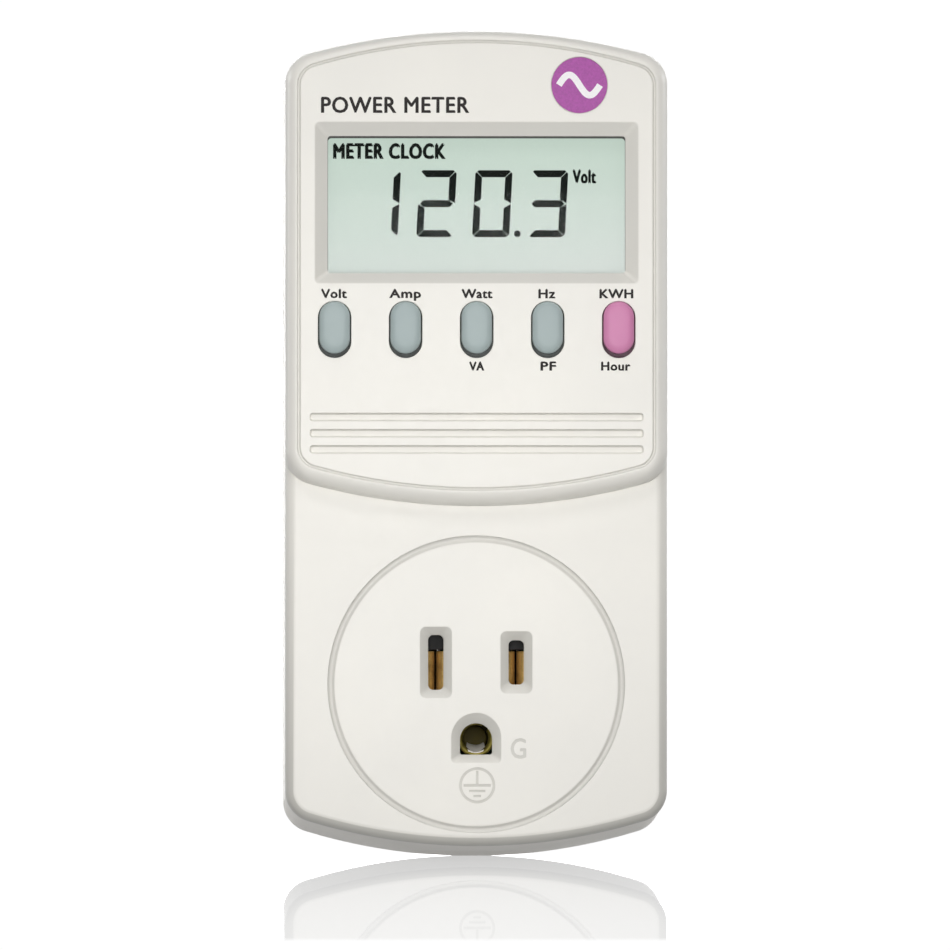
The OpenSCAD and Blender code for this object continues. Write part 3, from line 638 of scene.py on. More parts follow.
# painted shade on the blades' and pin's ends inside the case, in front of y = -6
metal("plug_metal", (214, 208, 196), (176, 164, 142), rough=0.24, scale=260,
      brushed=(1, 0.06, 1), shaded_in_front_of=-6.0)
moulded("clamp_plastic", (214, 212, 206), rough=0.5, grain=0.6)
metal("shunt_alloy", (168, 138, 108), (120, 90, 66), rough=0.35)
epoxy("capacitor_yellow", (214, 190, 64), rough=0.42)
epoxy("varistor_blue", (40, 84, 158), rough=0.38)
epoxy("capacitor_sleeve", (26, 30, 52), rough=0.35)
epoxy("resistor_blue", (92, 142, 176), rough=0.4)
epoxy("resistor_tan", (200, 172, 122), rough=0.45)
ribbon("ribbon_grey")
metal("screw_steel", (176, 178, 180), (120, 118, 112), rough=0.3)
brushed_label("label_silver")
ink("badge_purple", (158, 74, 152), rough=0.42)
ink("print_dark", (46, 43, 42), rough=0.6, specular=0.1)
ink("print_white", (246, 242, 246))
ink("print_grey", (96, 98, 100))
ink("lcd_ink", (12, 18, 15), rough=0.6, specular=0.02)

# material: the CAD nodes that wear it
NODE_MATERIALS = {
    "case_front": "front_shell",
    "case_back": "rear_shell",
    "window_clear": "display_window",
    "tape_black": "window_tape",
    "frame_plastic": "lcd_frame",
    "lcd_glass": "lcd_glass",
    "lcd_silver": "lcd_reflector",
    "zebra_rubber": "zebra_strip",
    "board_green": "display_board main_board",
    "chip_black": "controller_chip memory_chip rectifier_diodes amplifier_chip "
                  "voltage_regulator",
    "crystal_can": "clock_crystal",
    "header_cream": "display_header main_header",
    "button_grey": "button_volt button_amp button_watt button_hz",
    "button_pink": "button_kwh",
    "plunger_black": "plunger_volt plunger_amp plunger_watt plunger_hz plunger_kwh",
    "switch_dark": "switch_bodies",
    "outlet_plastic": "outlet_face",
    "block_black": "contact_block",
    "contact_brass": "hot_contact neutral_contact ground_contact",
    "plug_metal": "plug_blade_hot plug_blade_neutral plug_ground_pin",
    "clamp_plastic": "blade_clamp",
    "shunt_alloy": "shunt_strip",
    "capacitor_yellow": "dropper_capacitor",
    "varistor_blue": "surge_varistor",
    "capacitor_sleeve": "smoothing_capacitors",
    "resistor_blue": "dropper_resistor",
    "resistor_tan": "small_resistors",
    "ribbon_grey": "ribbon_cable",
    "screw_steel": "case_screws main_board_screws display_board_screws blade_clamp_screws "
                   "contact_block_screws",
    "label_silver": "rear_label",
    "badge_purple": "front_badge",
}
material_of = {node: name for name, nodes in NODE_MATERIALS.items() for node in nodes.split()}
for node, part in NODES.items():
    part.data.materials.clear()
    part.data.materials.append(MATERIALS[material_of[node]])


def finish_piece(piece, material, body=BODY, replaces=None):
    piece.data.materials.clear()
    piece.data.materials.append(MATERIALS[material])
    for face in piece.data.polygons:
        face.material_index = 0
    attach(piece, body)
    if replaces:
        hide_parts(replaces)


# ---------------------------------------------------------------- lettering
def text_solid(name, text, y0, y1, x0, x1, z0, z1, bold, spacing=1.0):
    """Lettering as thin solids, fitted to x0..x1 and z0..z1; bold thickens it."""
    lift = bold * 0.7
    x0, x1, z0, z1 = x0 + bold, x1 - bold, z0 + lift, z1 - lift
    curve = bpy.data.curves.new(name, "FONT")
    curve.body = text
    curve.size = 1.0
    curve.resolution_u = 3 if z1 - z0 > 2 else 2
    curve.extrude = 0.05
    curve.space_character = spacing
    letters = link(name, curve)
    bpy.context.view_layer.update()
    depsgraph = bpy.context.evaluated_depsgraph_get()
    mesh = bpy.data.meshes.new_from_object(letters.evaluated_get(depsgraph), depsgraph=depsgraph)
    bpy.data.objects.remove(letters)
    bpy.data.curves.remove(curve)
    xs = [v.co.x for v in mesh.vertices]
    ys = [v.co.y for v in mesh.vertices]
    left, right, low, high = min(xs), max(xs), min(ys), max(ys)
    for v in mesh.vertices:
        across = (v.co.x - left) / (right - left)
        up = (v.co.y - low) / (high - low)
        v.co = Vector(((x0 + across * (x1 - x0)) * MM, (y0 if v.co.z > 0 else y1) * MM,
                       (z0 + up * (z1 - z0)) * MM))
    with editing(mesh) as edit:
        bmesh.ops.remove_doubles(edit, verts=edit.verts, dist=2e-7)
        bmesh.ops.dissolve_degenerate(edit, edges=edit.edges, dist=1e-7)
        bmesh.ops.recalc_face_normals(edit, faces=edit.faces)
    mesh.name = name
    piece = link(name, mesh)
    # three shifted copies merged into heavier strokes
    copies = []
    for across, up in ((-1, -0.7), (0, 0.7)):
        copy = link("copy", mesh.copy())
        copy.data.transform(Matrix.Translation((across * bold * MM, 0, up * bold * MM)))
        copies.append(copy)
    mesh.transform(Matrix.Translation((bold * MM, 0, -0.7 * bold * MM)))
    boolean(piece, copies, "UNION")
    return piece


# ---------------------------------------------------------------- front shell
# painted shade, 0 to 1: the bezel's slopes set per side, grooves, the engraved line, the ring,
# recesses, marks and rounded edges
SLOPE_SIDE, SLOPE_TOP, SLOPE_BOTTOM = 0.25, 0.2, 0.4
GROOVE, LINE, RING, RECESS, MARK, EDGE = 0.4, 0.3, 0.32, 0.36, 0.5, 0.6
# softened edge at the parting plane: distance from the plane, inset
PARTING_EDGE = ((0.42, 0), (0.36, 0.03), (0.04, 0.22), (0, 0.25))
# section of a groove: growth, depth
GROOVE_SECTION = (
    (0.16, -LEAD), (0.16, -0.003), (0.09, 0.02), (0.03, 0.07), (0, 0.16),
    (-0.02, 0.34), (-0.07, 0.46), (-0.16, 0.55), (-0.28, 0.6))
# section of the engraved line, a round-bottomed channel: inset, depth
LINE_SECTION = (
    (-0.14, -LEAD), (-0.14, -0.003), (-0.06, 0.03), (0.0, 0.1), (0.06, 0.2), (0.14, 0.27),
    (0.32, 0.27), (0.4, 0.2), (0.46, 0.1), (0.52, 0.03), (0.6, -0.003), (0.6, -LEAD))


def front_body():
    """Hollow case with the domed upper deck."""
    dome = 3.5
    body = loft([(LOWER_Y + EDGE_R * drop, case_outline(EDGE_R * (1 - sine)))
                 for drop, sine in quarter(14)]
                + [(PARTING_Y - gap, case_outline(inset)) for gap, inset in PARTING_EDGE],
                "front_shell_skin")
    deck = loft([(DECK_Y + dome * drop, blend(line_outline(0), deck_outline(0), sine))
                 for drop, sine in quarter(16)] + [(LOWER_Y + 4, deck_outline(0))])
    boolean(body, [deck], "UNION")
    lip, rebate_y = 1, PARTING_Y - 2.2
    lower_cavity = loft([(LOWER_IN_Y, case_outline(WALL)), (rebate_y, case_outline(WALL)),
                         (rebate_y, case_outline(lip)), (PARTING_Y + 1, case_outline(lip))])
    deck_cavity = prism(deck_outline(3.2), DECK_IN_Y, LOWER_IN_Y + 1.2)
    boolean(body, [lower_cavity, deck_cavity])
    return body


def window_outline(grow):
    return rounded_rect(0, LCD_Z + 0.125 * grow, LCD_W + 2 * grow,
                        LCD_H + 2 * grow - 0.06 * grow, 0.5 + 0.12 * grow)


def front_cutters():
    rings = slope_rings(window_outline, DECK_Y, BEZEL_W, BEZEL_DEPTH, fillet=0.45)
    start = 0.3
    for left in (start, 0.1, 0.0):
        rings.append((DECK_Y + BEZEL_DEPTH + 0.1 * (start - left) / start,
                      window_outline(left * 0.45)))
    rings.append((DECK_IN_Y + 1, window_outline(0)))
    cutters = [loft(rings)]
    for i in range(-2, 3):
        pill = growing_rect(i * BUTTON_PITCH, BUTTON_Z - 0.07, 5.24, 8.98, 2.62, 12)
        cutters.append(loft(hole_rings(pill, DECK_Y, fillet=0.1, depth=WALL + 1)))
    for i in range(3):
        groove = growing_rect(0, GROOVE_Z - GROOVE_PITCH * i, 52.5, 1.18, 0.45)
        cutters.append(loft([(DECK_Y + depth, groove(grow)) for grow, depth in GROOVE_SECTION]))
    cutters.append(loft([(DECK_Y + depth, line_outline(inset)) for inset, depth in LINE_SECTION],
                        closed=True))
    outlet = growing_circle(0, SOCKET_Z, RING_R, 192)
    cutters.append(loft(hole_rings(outlet, LOWER_Y, fillet=0.06, depth=WALL + 1, steps=3)))
    badge = growing_circle(16.2, 91, 4.5, 96)
    cutters.append(loft(hole_rings(badge, DECK_Y, fillet=0.05, depth=0.25, steps=3)))
    return cutters


def front_posts():
    """Screw posts, display posts and the outlet face's stakes, and the bores."""
    # a stake's head, as (distance behind the wall, radius)
    stake = ((-0.3, 1.1), (1.55, 1.1), (1.56, 1.85), (2.1, 1.6), (2.4, 1.0))
    posts, bores = [], []
    for side in (-1, 1):
        for z, wall_y in zip(CASE_SCREW_ZS, (DECK_IN_Y, LOWER_IN_Y)):
            x = side * CASE_SCREW_X
            posts.append(cylinder(x, z, 3.2, wall_y - 0.3, -22.1, steps=48))
            bores.append(cylinder(x, z, 1.5, -34, -21, steps=32))
        for x, z in DISPLAY_SCREWS:
            posts.append(cylinder(side * x, z, 2.2, DECK_IN_Y - 0.3, -32.5, steps=40))
            bores.append(cylinder(side * x, z, 1.05, DECK_IN_Y + 1, -31, steps=24))
        for x, z in OUTLET_STAKES:
            posts.append(loft([(LOWER_IN_Y + back, circle(side * x, z, radius, 32))
                               for back, radius in stake]))
    return posts, bores


LINE_RIM = line_outline(-0.16)


def front_painted_shade(x, y, z):
    margin = BEZEL_W + 0.6
    if y < DECK_Y + 0.015:
        return 0.0
    # painted shade on the bezel's slopes, a different amount for the sides, top and bottom
    if abs(x) < LCD_W / 2 + margin and abs(z - LCD_Z) < LCD_H / 2 + margin:
        side = abs(x) - LCD_W / 2 > abs(z - LCD_Z) - LCD_H / 2
        dark = SLOPE_SIDE if side else (SLOPE_TOP if z > LCD_Z else SLOPE_BOTTOM)
        return clamp((y - DECK_Y) / 0.12) * dark
    if y < DECK_Y + 0.7 and inside(LINE_RIM, x, z):
        if abs(x) < 26.8 and 32 < z < 40:
            # height above a groove's middle
            # painted shade on each groove's upper wall
            above = (z - GROOVE_Z + GROOVE_PITCH * 3) % GROOVE_PITCH
            return GROOVE if 0.35 < above < 1.1 else 0.0
        if abs(z - BUTTON_Z) > 6.2 or abs(x) > 26.3:
            return LINE * clamp((y - DECK_Y) / 0.1)
    # painted shade in the groove around the outlet
    if LOWER_Y + 0.03 < y < LOWER_Y + 1.0 and math.hypot(x, z - SOCKET_Z) < RING_R + 0.25:
        return RING
    # painted shade on the rounded lower edge
    if z < DECK_Z + 1 and LOWER_Y + 0.05 < y < LOWER_Y + EDGE_R + 0.05:
        return EDGE
    return 0.0


def build_front():
    shell = front_body()
    boolean(shell, front_cutters())
    posts, bores = front_posts()
    boolean(shell, posts, "UNION")
    boolean(shell, bores)
    smooth(shell, 34)
    paint(shell, front_painted_shade)
    finish_piece(shell, "case_front", replaces="front_shell")


# ---------------------------------------------------------------- rear shell
CLAMP_SCREW_X, CLAMP_SCREW_Z = 12, -4
FLOOR_Y = -2.0                      # inner face of the back plate


def rear_body():
    edge_r, lip = 2, 1.1
    rings = [(-2.2, back_outline(WALL)), (PARTING_Y - 2, case_outline(WALL)),
             (PARTING_Y - 2, case_outline(lip)), (PARTING_Y, case_outline(lip))]
    rings += [(PARTING_Y + gap, case_outline(inset)) for gap, inset in reversed(PARTING_EDGE)]
    rings += [(-edge_r * (1 - sine), back_outline(edge_r * drop)) for drop, sine in quarter(12)]
    return loft(rings, "rear_shell_skin")


def rear_posts():
    posts = []
    for side in (-1, 1):
        for z in CASE_SCREW_ZS:
            posts.append(cylinder(side * CASE_SCREW_X, z, 4.2, -22, FLOOR_Y, steps=48))
        for z in BOARD_SCREW_ZS:
            posts.append(cylinder(side * BOARD_SCREW_X, z, 3, -13.4, FLOOR_Y, steps=40))
        for z in (8, 40, 58):       # ribs along the side walls
            posts.append(prism(rect(side * (HALF_W - 3.2), side * (HALF_W - 1.8), z, z + 1.2),
                               -29, FLOOR_Y))
    # raised pad around the blades
    posts.append(prism(rounded_rect(0, -4.75, 30, 26.5, 1.0), -5.2, FLOOR_Y))
    return posts


def back_recess(shape, fillet, depth, steps=5):
    """Cutter sunk from the back plate towards the front, with a rounded rim."""
    return loft([(-y, points) for y, points in hole_rings(shape, 0, fillet, depth, steps)])


def rear_cutters():
    cutters = []
    for side in (-1, 1):
        for z in CASE_SCREW_ZS:
            x = side * CASE_SCREW_X
            cutters.append(back_recess(growing_circle(x, z, 3, 48), fillet=0.25, depth=16))
            cutters.append(cylinder(x, z, 1.7, -23, -15, steps=32))
        for z in BOARD_SCREW_ZS:
            cutters.append(cylinder(side * BOARD_SCREW_X, z, 1.25, -14, -4.5, steps=24))
        cutters.append(cylinder(side * CLAMP_SCREW_X, CLAMP_SCREW_Z, 1.25, -6, -1.2, steps=24))
    for x, blade_h in ((BLADE_X, 6.35), (-BLADE_X, 7.92)):
        slot = growing_rect(x, 0, 1.82, blade_h + 0.3, 0.12, 5)
        cutters.append(back_recess(slot, fillet=0.12, depth=6))
    cutters.append(back_recess(growing_circle(0, PIN_Z, 2.55, 64), fillet=0.15, depth=6))
    label = growing_rect(0, 44, 34, 28, 0.8)
    cutters.append(back_recess(label, fillet=0.08, depth=0.3, steps=3))
    return cutters


def build_rear():
    shell = rear_body()
    boolean(shell, rear_posts(), "UNION")
    boolean(shell, rear_cutters())
    smooth(shell, 34)
    finish_piece(shell, "case_back", replaces="rear_shell")


# ---------------------------------------------------------------- outlet face
# rounded edge of the disc: depth, growth over SOCKET_R
DISC_EDGE = (
    (0, -0.34), (0.012, -0.22), (0.045, -0.1), (0.1, 0.0), (0.165, 0.08), (0.22, 0.17),
    (0.255, 0.28), (0.265, 0.42))
# inner side of the outer ring, rising again: depth, inset from RING_R
RING_EDGE = ((0.255, 0.42), (0.225, 0.3), (0.17, 0.19), (0.1, 0.09), (0.05, 0.025))
HOLE_SLOPE_DEPTH = 1.25
EARTH_X, EARTH_Z = 0.15, -19.4
# bars of the earth mark: half width, bottom z, top z
EARTH_BARS = (
    (0.2, EARTH_Z, -17.1), (2.15, -19.64, -19.22), (1.3, -20.48, -20.12), (0.6, -21.26, -20.92))


def outlet_body():
    def disc(radius):
        return circle(0, SOCKET_Z, radius, 192)
    rings = [(LOWER_Y + depth, disc(SOCKET_R + grow)) for depth, grow in DISC_EDGE]
    rings += [(LOWER_Y + depth, disc(RING_R - inset)) for depth, inset in RING_EDGE]
    rings.append((LOWER_IN_Y + 1.5, disc(RING_R - 0.012)))
    face = loft(rings, "outlet_face_skin")
    flange = prism(disc(FLANGE_R), LOWER_IN_Y + 0.002, LOWER_IN_Y + 1.498)
    room = prism(case_outline(WALL + 0.15), LOWER_IN_Y - 1, LOWER_IN_Y + 3)
    boolean(flange, [room], "INTERSECT")
    ears = [cylinder(side * x, z, 2.3, LOWER_IN_Y + 0.001, LOWER_IN_Y + 1.499, steps=40)
            for side in (-1, 1) for x, z in OUTLET_STAKES]
    boolean(face, [flange] + ears, "UNION")
    return face


def sloped_hole(shape, width):
    """Opening through the face in a sloped surround `width` wide."""
    rings = slope_rings(shape, LOWER_Y, width, HOLE_SLOPE_DEPTH, fillet=0.22)
    rings += [(LOWER_Y + 1.22, shape(0.04)), (LOWER_Y + 1.28, shape(0)),
              (LOWER_IN_Y + 3, shape(0))]
    return loft(rings)


def earth_mark():
    front, back = LOWER_Y - 0.3, LOWER_Y + 0.2
    mark = cylinder(EARTH_X, EARTH_Z, 2.85, front, back, steps=96)
    boolean(mark, [cylinder(EARTH_X, EARTH_Z, 2.42, LOWER_Y - 1, LOWER_Y + 1, steps=96)])
    bars = [prism(rect(EARTH_X - half, EARTH_X + half, z0, z1), front, back)
            for half, z0, z1 in EARTH_BARS]
    boolean(mark, bars, "UNION")
    return mark


def outlet_cutters():
    cutters = []
    for side in (-1, 1):
        for x, z in OUTLET_STAKES:
            cutters.append(cylinder(side * x, z, 1.2, LOWER_IN_Y - 0.8, LOWER_IN_Y + 3, steps=32))
        cutters.append(cylinder(side * 16.5, -4, 1.05, LOWER_Y + 1, LOWER_IN_Y + 3, steps=24))
    slope_w = 1.3
    for x, height, end_slope in ((-BLADE_X, 8.65, slope_w), (BLADE_X, 7.0, 1.42)):
        def slot(grow, x=x, height=height, end_slope=end_slope):
            return rounded_rect(x, 0, 2.44 + 2 * grow, height + 2 * grow * end_slope / slope_w,
                                0.8 + 0.1 * grow)
        cutters.append(sloped_hole(slot, slope_w))
    ground_slope_w = 1.35

    def ground(grow):
        share = grow / ground_slope_w
        return ground_outline(5.1 + 2.8 * share, 2.3 + 1.65 * share, 2.65 + 1.3 * share,
                              0.35 + 0.3 * share)
    cutters.append(sloped_hole(ground, ground_slope_w))
    cutters.append(earth_mark())
    cutters.append(text_solid("letter", "G", LOWER_Y - 0.3, LOWER_Y + 0.18,
                              5.42, 7.9, -15.2, -11.95, bold=0.07))
    return cutters


def outlet_painted_shade(x, y, z):
    # painted shade: in the ring groove, on the sloped surrounds of the openings, and darker in
    # the engraved marks
    if y < LOWER_Y + 0.015:
        return 0.0
    if math.hypot(x, z - SOCKET_Z) > SOCKET_R - 0.3:
        return RING if y < LOWER_IN_Y - 0.2 else 0.0
    marked = y < LOWER_Y + 0.25 and (z < -16.3 or x > 5)
    return clamp((y - LOWER_Y) / 0.1) * (MARK if marked else RECESS)


def build_outlet():
    face = outlet_body()
    boolean(face, outlet_cutters())
    smooth(face, 34)
    paint(face, outlet_painted_shade)
    finish_piece(face, "outlet_plastic", replaces="outlet_face")


# ---------------------------------------------------------------- buttons
# the cap's rounded front: depth, growth, rise
CAP_SECTION = (
    (0, -2.1, 0.42), (0.012, -1.6, 0.4), (0.035, -1.15, 0.36), (0.07, -0.88, 0.31),
    (0.12, -0.7, 0.26), (0.18, -0.56, 0.21), (0.26, -0.42, 0.16), (0.37, -0.28, 0.1),
    (0.5, -0.15, 0.05), (0.64, -0.05, 0.01), (0.8, 0, 0))


def build_button(name, x, material):
    """A pill-shaped cap on a square flange, with a round stem behind."""
    steps = 14

    def pill(grow, rise):
        return growing_rect(x, BUTTON_Z + 0.26 + rise, 4.86, 8.24, 2.43, steps)(grow)
    flange = rounded_rect(x, BUTTON_Z, 6.6, 9.8, 0.6, steps)
    stem = rounded_rect(x, BUTTON_Z, 3.0, 3.0, 1.5, steps)
    stem_tip = rounded_rect(x, BUTTON_Z, 2.7, 2.7, 1.35, steps)
    tip_y = box("button_" + name)[1].y
    flange_y = DECK_IN_Y + 0.1
    rings = [(CAP_Y + depth, pill(grow, rise)) for depth, grow, rise in CAP_SECTION]
    rings += [(flange_y, pill(0, 0)), (flange_y, flange), (flange_y + 0.8, flange),
              (flange_y + 0.8, stem), (tip_y - 0.15, stem), (tip_y, stem_tip)]
    cap = loft(rings, "cap_" + name)
    smooth(cap, 38)
    # painted shade on the flange and stem behind the cap, seen in the gap around it
    paint(cap, lambda x, y, z: clamp((y - CAP_Y - 0.8) / 0.3))
    finish_piece(cap, material, body=name + "_key", replaces="button_" + name)


# ---------------------------------------------------------------- display
def build_mask():
    """Black adhesive frame between the case wall and the window; a strip of it shows at the top
    as a painted shadow line.
    """
    outer = rounded_rect(0, (tape_low.z + tape_high.z) / 2, tape_high.x - tape_low.x,
                         tape_high.z - tape_low.z, 0.6)
    # the opening's top stops short of the window's top, so the black tape shows there as a line
    # of painted shadow
    z0, z1 = LCD_Z - LCD_H / 2 - 0.2, LCD_Z + LCD_H / 2 - 0.34
    inner = rounded_rect(0, (z0 + z1) / 2, LCD_W - 0.1, z1 - z0, 0.6)
    mask = frame(outer, inner, tape_low.y, tape_high.y, "window_mask")
    smooth(mask, 40, weighted=False)
    finish_piece(mask, "tape_black", replaces="window_tape")


DIGIT_Z = 72.41
DIGITS = ((-15.07, "bc"), (-6.27, "abged"), (2.54, "abcdef"), (11.34, "abgcd"))  # x, segments


def digit_segments(centre_x, lit):
    """Outlines of a digit's lit segments, lettered a to g in the usual order."""
    half_w, half_h, bar = 5.86 / 2, 10.56 / 2, 1.1
    cut, gap, inset = 0.45, 0.06, 0.33      # corner cut, gap, middle bar's end inset
    lean = math.tan(math.radians(3.0))
    top = [(-half_w + cut + gap, half_h), (half_w - cut - gap, half_h),
           (half_w - cut / 2 - gap, half_h - cut / 2), (half_w - bar - gap * 0.3, half_h - bar),
           (-half_w + bar + gap * 0.3, half_h - bar), (-half_w + cut / 2 + gap, half_h - cut / 2)]
    right = [(half_w - cut / 2, half_h - cut / 2 - gap), (half_w, half_h - cut - gap),
             (half_w, 0.13), (half_w - 0.12, 0.12), (half_w - bar, 0.7),
             (half_w - bar, half_h - bar - gap)]
    end, shoulder = half_w - inset, half_w - inset - bar / 2
    middle = [(-end, 0), (-shoulder, bar / 2), (shoulder, bar / 2), (end, 0),
              (shoulder, -bar / 2), (-shoulder, -bar / 2)]
    # segment: outline, mirror in x, mirror in z
    segments = {"a": (top, 1, 1), "b": (right, 1, 1), "g": (middle, 1, 1), "d": (top, 1, -1),
                "c": (right, 1, -1), "f": (right, -1, 1), "e": (right, -1, -1)}
    outlines = []
    for letter in lit:
        points, side, up = segments[letter]
        outlines.append([(centre_x + side * x + up * z * lean, DIGIT_Z + up * z)
                         for x, z in points])
    return outlines


def build_digits():
    outlines = [outline for x, lit in DIGITS for outline in digit_segments(x, lit)]
    outlines.append(circle(6.5, 67.66, 0.52, 40))       # decimal point
    y0, y1 = GLASS_Y - 0.03, GLASS_Y - 0.005
    digits = prisms(outlines, y0, y1, "display_digits")
    smooth(digits, 40, weighted=False)
    finish_piece(digits, "lcd_ink")
    for name, text, x0, x1, z0, z1, bold in (
            ("display_mode_word", "METER CLOCK", -22.6, -4.8, 79.45, 81.98, 0.15),
            ("display_unit_word", "Volt", 15.2, 18.95, 75.62, 77.85, 0.12)):
        word = text_solid(name, text, y0, y1, x0, x1, z0, z1, bold=bold, spacing=1.12)
        finish_piece(word, "lcd_ink")


# ---------------------------------------------------------------- print on the case
UPPER_ROW, LOWER_ROW = (57.35, 58.85), (45.95, 47.4)    # bottom and top z
# name, text, left x, right x, (bottom z, top z), bold
CASE_WORDS = (
    ("word_meter", "POWER METER", -24.55, -1.15, (86.55, 89.15), 0.09),
    ("word_volt", "Volt", -24.55, -20.45, UPPER_ROW, 0.085),
    ("word_amp", "Amp", -13.8, -8.75, (56.95, 58.85), 0.085),
    ("word_watt", "Watt", -2.4, 2.5, UPPER_ROW, 0.085),
    ("word_hz", "Hz", 9.72, 12.4, UPPER_ROW, 0.085),
    ("word_kwh", "KWH", 19.35, 24.7, UPPER_ROW, 0.085),
    ("word_va", "VA", -1.2, 1.2, LOWER_ROW, 0.085),
    ("word_pf", "PF", 10.05, 12.55, LOWER_ROW, 0.085),
    ("word_hour", "Hour", 19.6, 24.25, LOWER_ROW, 0.085))


def build_print():
    for name, text, x0, x1, (z0, z1), bold in CASE_WORDS:
        word = text_solid(name, text, DECK_Y - 0.012, DECK_Y + 0.03, x0, x1, z0, z1,
                          bold=bold, spacing=1.08)
        finish_piece(word, "print_dark")


def build_badge():
    """A disc printed with one period of a sine wave."""
    x, z = (badge_low.x + badge_high.x) / 2, (badge_low.z + badge_high.z) / 2
    radius = (badge_high.x - badge_low.x) / 2
    disc = loft([(badge_low.y, circle(x, z, radius - 0.06, 96)),
                 (badge_low.y + 0.05, circle(x, z, radius, 96)),
                 (badge_high.y, circle(x, z, radius, 96))], "badge_disc")
    smooth(disc, 50)
    finish_piece(disc, "badge_purple", replaces="front_badge")
    half, height, half_stroke, steps = 3.25, 1.6, 0.52, 60
    rate = math.pi / half
    upper, lower = [], []
    for i in range(steps + 1):
        across = -half + 2 * half * i / steps
        rise = height * math.sin(rate * (across + half))
        slope = height * rate * math.cos(rate * (across + half))
        length = math.hypot(1, slope)
        side, up = -slope / length * half_stroke, 1 / length * half_stroke
        upper.append((x + across + side, z + rise + up))
        lower.append((x + across - side, z + rise - up))
    wave = prism(upper + lower[::-1], badge_low.y - 0.01, badge_low.y + 0.03, "badge_wave")
    finish_piece(wave, "print_white")


# ---------------------------------------------------------------- contacts
LEAF_TOP_Z = 1.8


def build_leaf_contact(name, x):
    """Two sprung brass leaves with rolled mouths, standing in one slot."""
    low = box(name)[0]
    thick, steps = 0.42, 10
    # inner face of a leaf from mouth to root: distance from the slot's middle, y
    path = [(1.42 - 1.28 * sine, low.y + 0.25 + 2.1 * drop) for drop, sine in quarter(steps)]
    path += [(0.14, -26.0), (0.3, -20.5)]
    outer = [(out + thick * (0.75 if k < steps else 1), y + (0.32 if k < steps else 0))
             for k, (out, y) in enumerate(path)]
    section = path + outer[::-1]
    # height, thinning
    levels = ((low.z, 0.10), (low.z + 0.12, 0), (LEAF_TOP_Z - 0.25, 0),
              (LEAF_TOP_Z - 0.05, 0.06), (LEAF_TOP_Z, 0.14))
    verts, faces = [], []
    for side in (-1, 1):
        faces += tube_faces(len(levels), len(section), start=len(verts))
        for z, thin in levels:
            verts += [(x + side * (out - (0.0 if i < len(path) else thin)), y + thin * 0.5, z)
                      for i, (out, y) in enumerate(section)]
    leaves = from_faces(verts, faces, "leaves_" + name)
    web = prism(rounded_rect(x, (low.z + LEAF_TOP_Z) / 2, 2.2, LEAF_TOP_Z - low.z, 0.1, 3),
                -20.5, -19.7)
    # L-shaped leg behind the leaves, as (y, z)
    leg_outline = ((-19.9, 1), (-19.9, 7), (-12.7, 7), (-12.7, 4.8), (-18.2, 4.8), (-18.2, 1))
    leg = from_faces([(x + dx, y, z) for dx in (-0.4, 0.4) for y, z in leg_outline],
                     [(0, 1, 2, 3, 4, 5), (11, 10, 9, 8, 7, 6)]
                     + [(i, i + 6, (i + 1) % 6 + 6, (i + 1) % 6) for i in range(6)])
    boolean(leaves, [web, leg], "UNION")
    smooth(leaves, 40)
    # painted shade: darker deeper in the slot, and full over the leg above the leaves
    paint(leaves, lambda x, y, z: clamp((y + 27) / 3) if z < LEAF_TOP_Z + 0.1 else 1.0)
    finish_piece(leaves, "contact_brass", replaces=name)


def build_ground_contact():
    """A split brass sleeve behind the ground opening, its mouth rolled outwards."""
    mouth_y = ground_low.y
    steps, start, end = 40, 62, 395         # degrees; open at the upper right
    # radius, distance behind the mouth
    section = [(radius, mouth_y + back) for radius, back in (
        (2.15, 2.6), (2.0, 1.6), (2.02, 1.0), (2.12, 0.5), (2.35, 0.12), (2.7, 0), (2.95, 0.1),
        (3.0, 0.4), (2.75, 0.6), (2.6, 1.1), (2.6, 2.6))]
    section += [(2.6, -19.4), (2.15, -19.4)]
    middle = sum(radius for radius, y in section) / len(section)
    verts = []
    for k in range(steps + 1):
        angle = math.radians(start + (end - start) * k / steps)
        thin = 0.12 if k in (0, steps) else 0.0
        for radius, y in section:
            radius += (middle - radius) * thin
            verts.append((radius * math.cos(angle), y, PIN_Z + radius * math.sin(angle)))
    sleeve = from_faces(verts, tube_faces(steps + 1, len(section)), "ground_sleeve")
    boolean(sleeve, [cylinder(0, PIN_Z, 2.9, -20.0, -19.2, steps=48)], "UNION")
    smooth(sleeve, 40)
    # painted shade, deeper in the sleeve
    paint(sleeve, lambda x, y, z: 0.72 * clamp((y - mouth_y - 2.2) / 4))
    finish_piece(sleeve, "contact_olive", replaces="ground_contact")


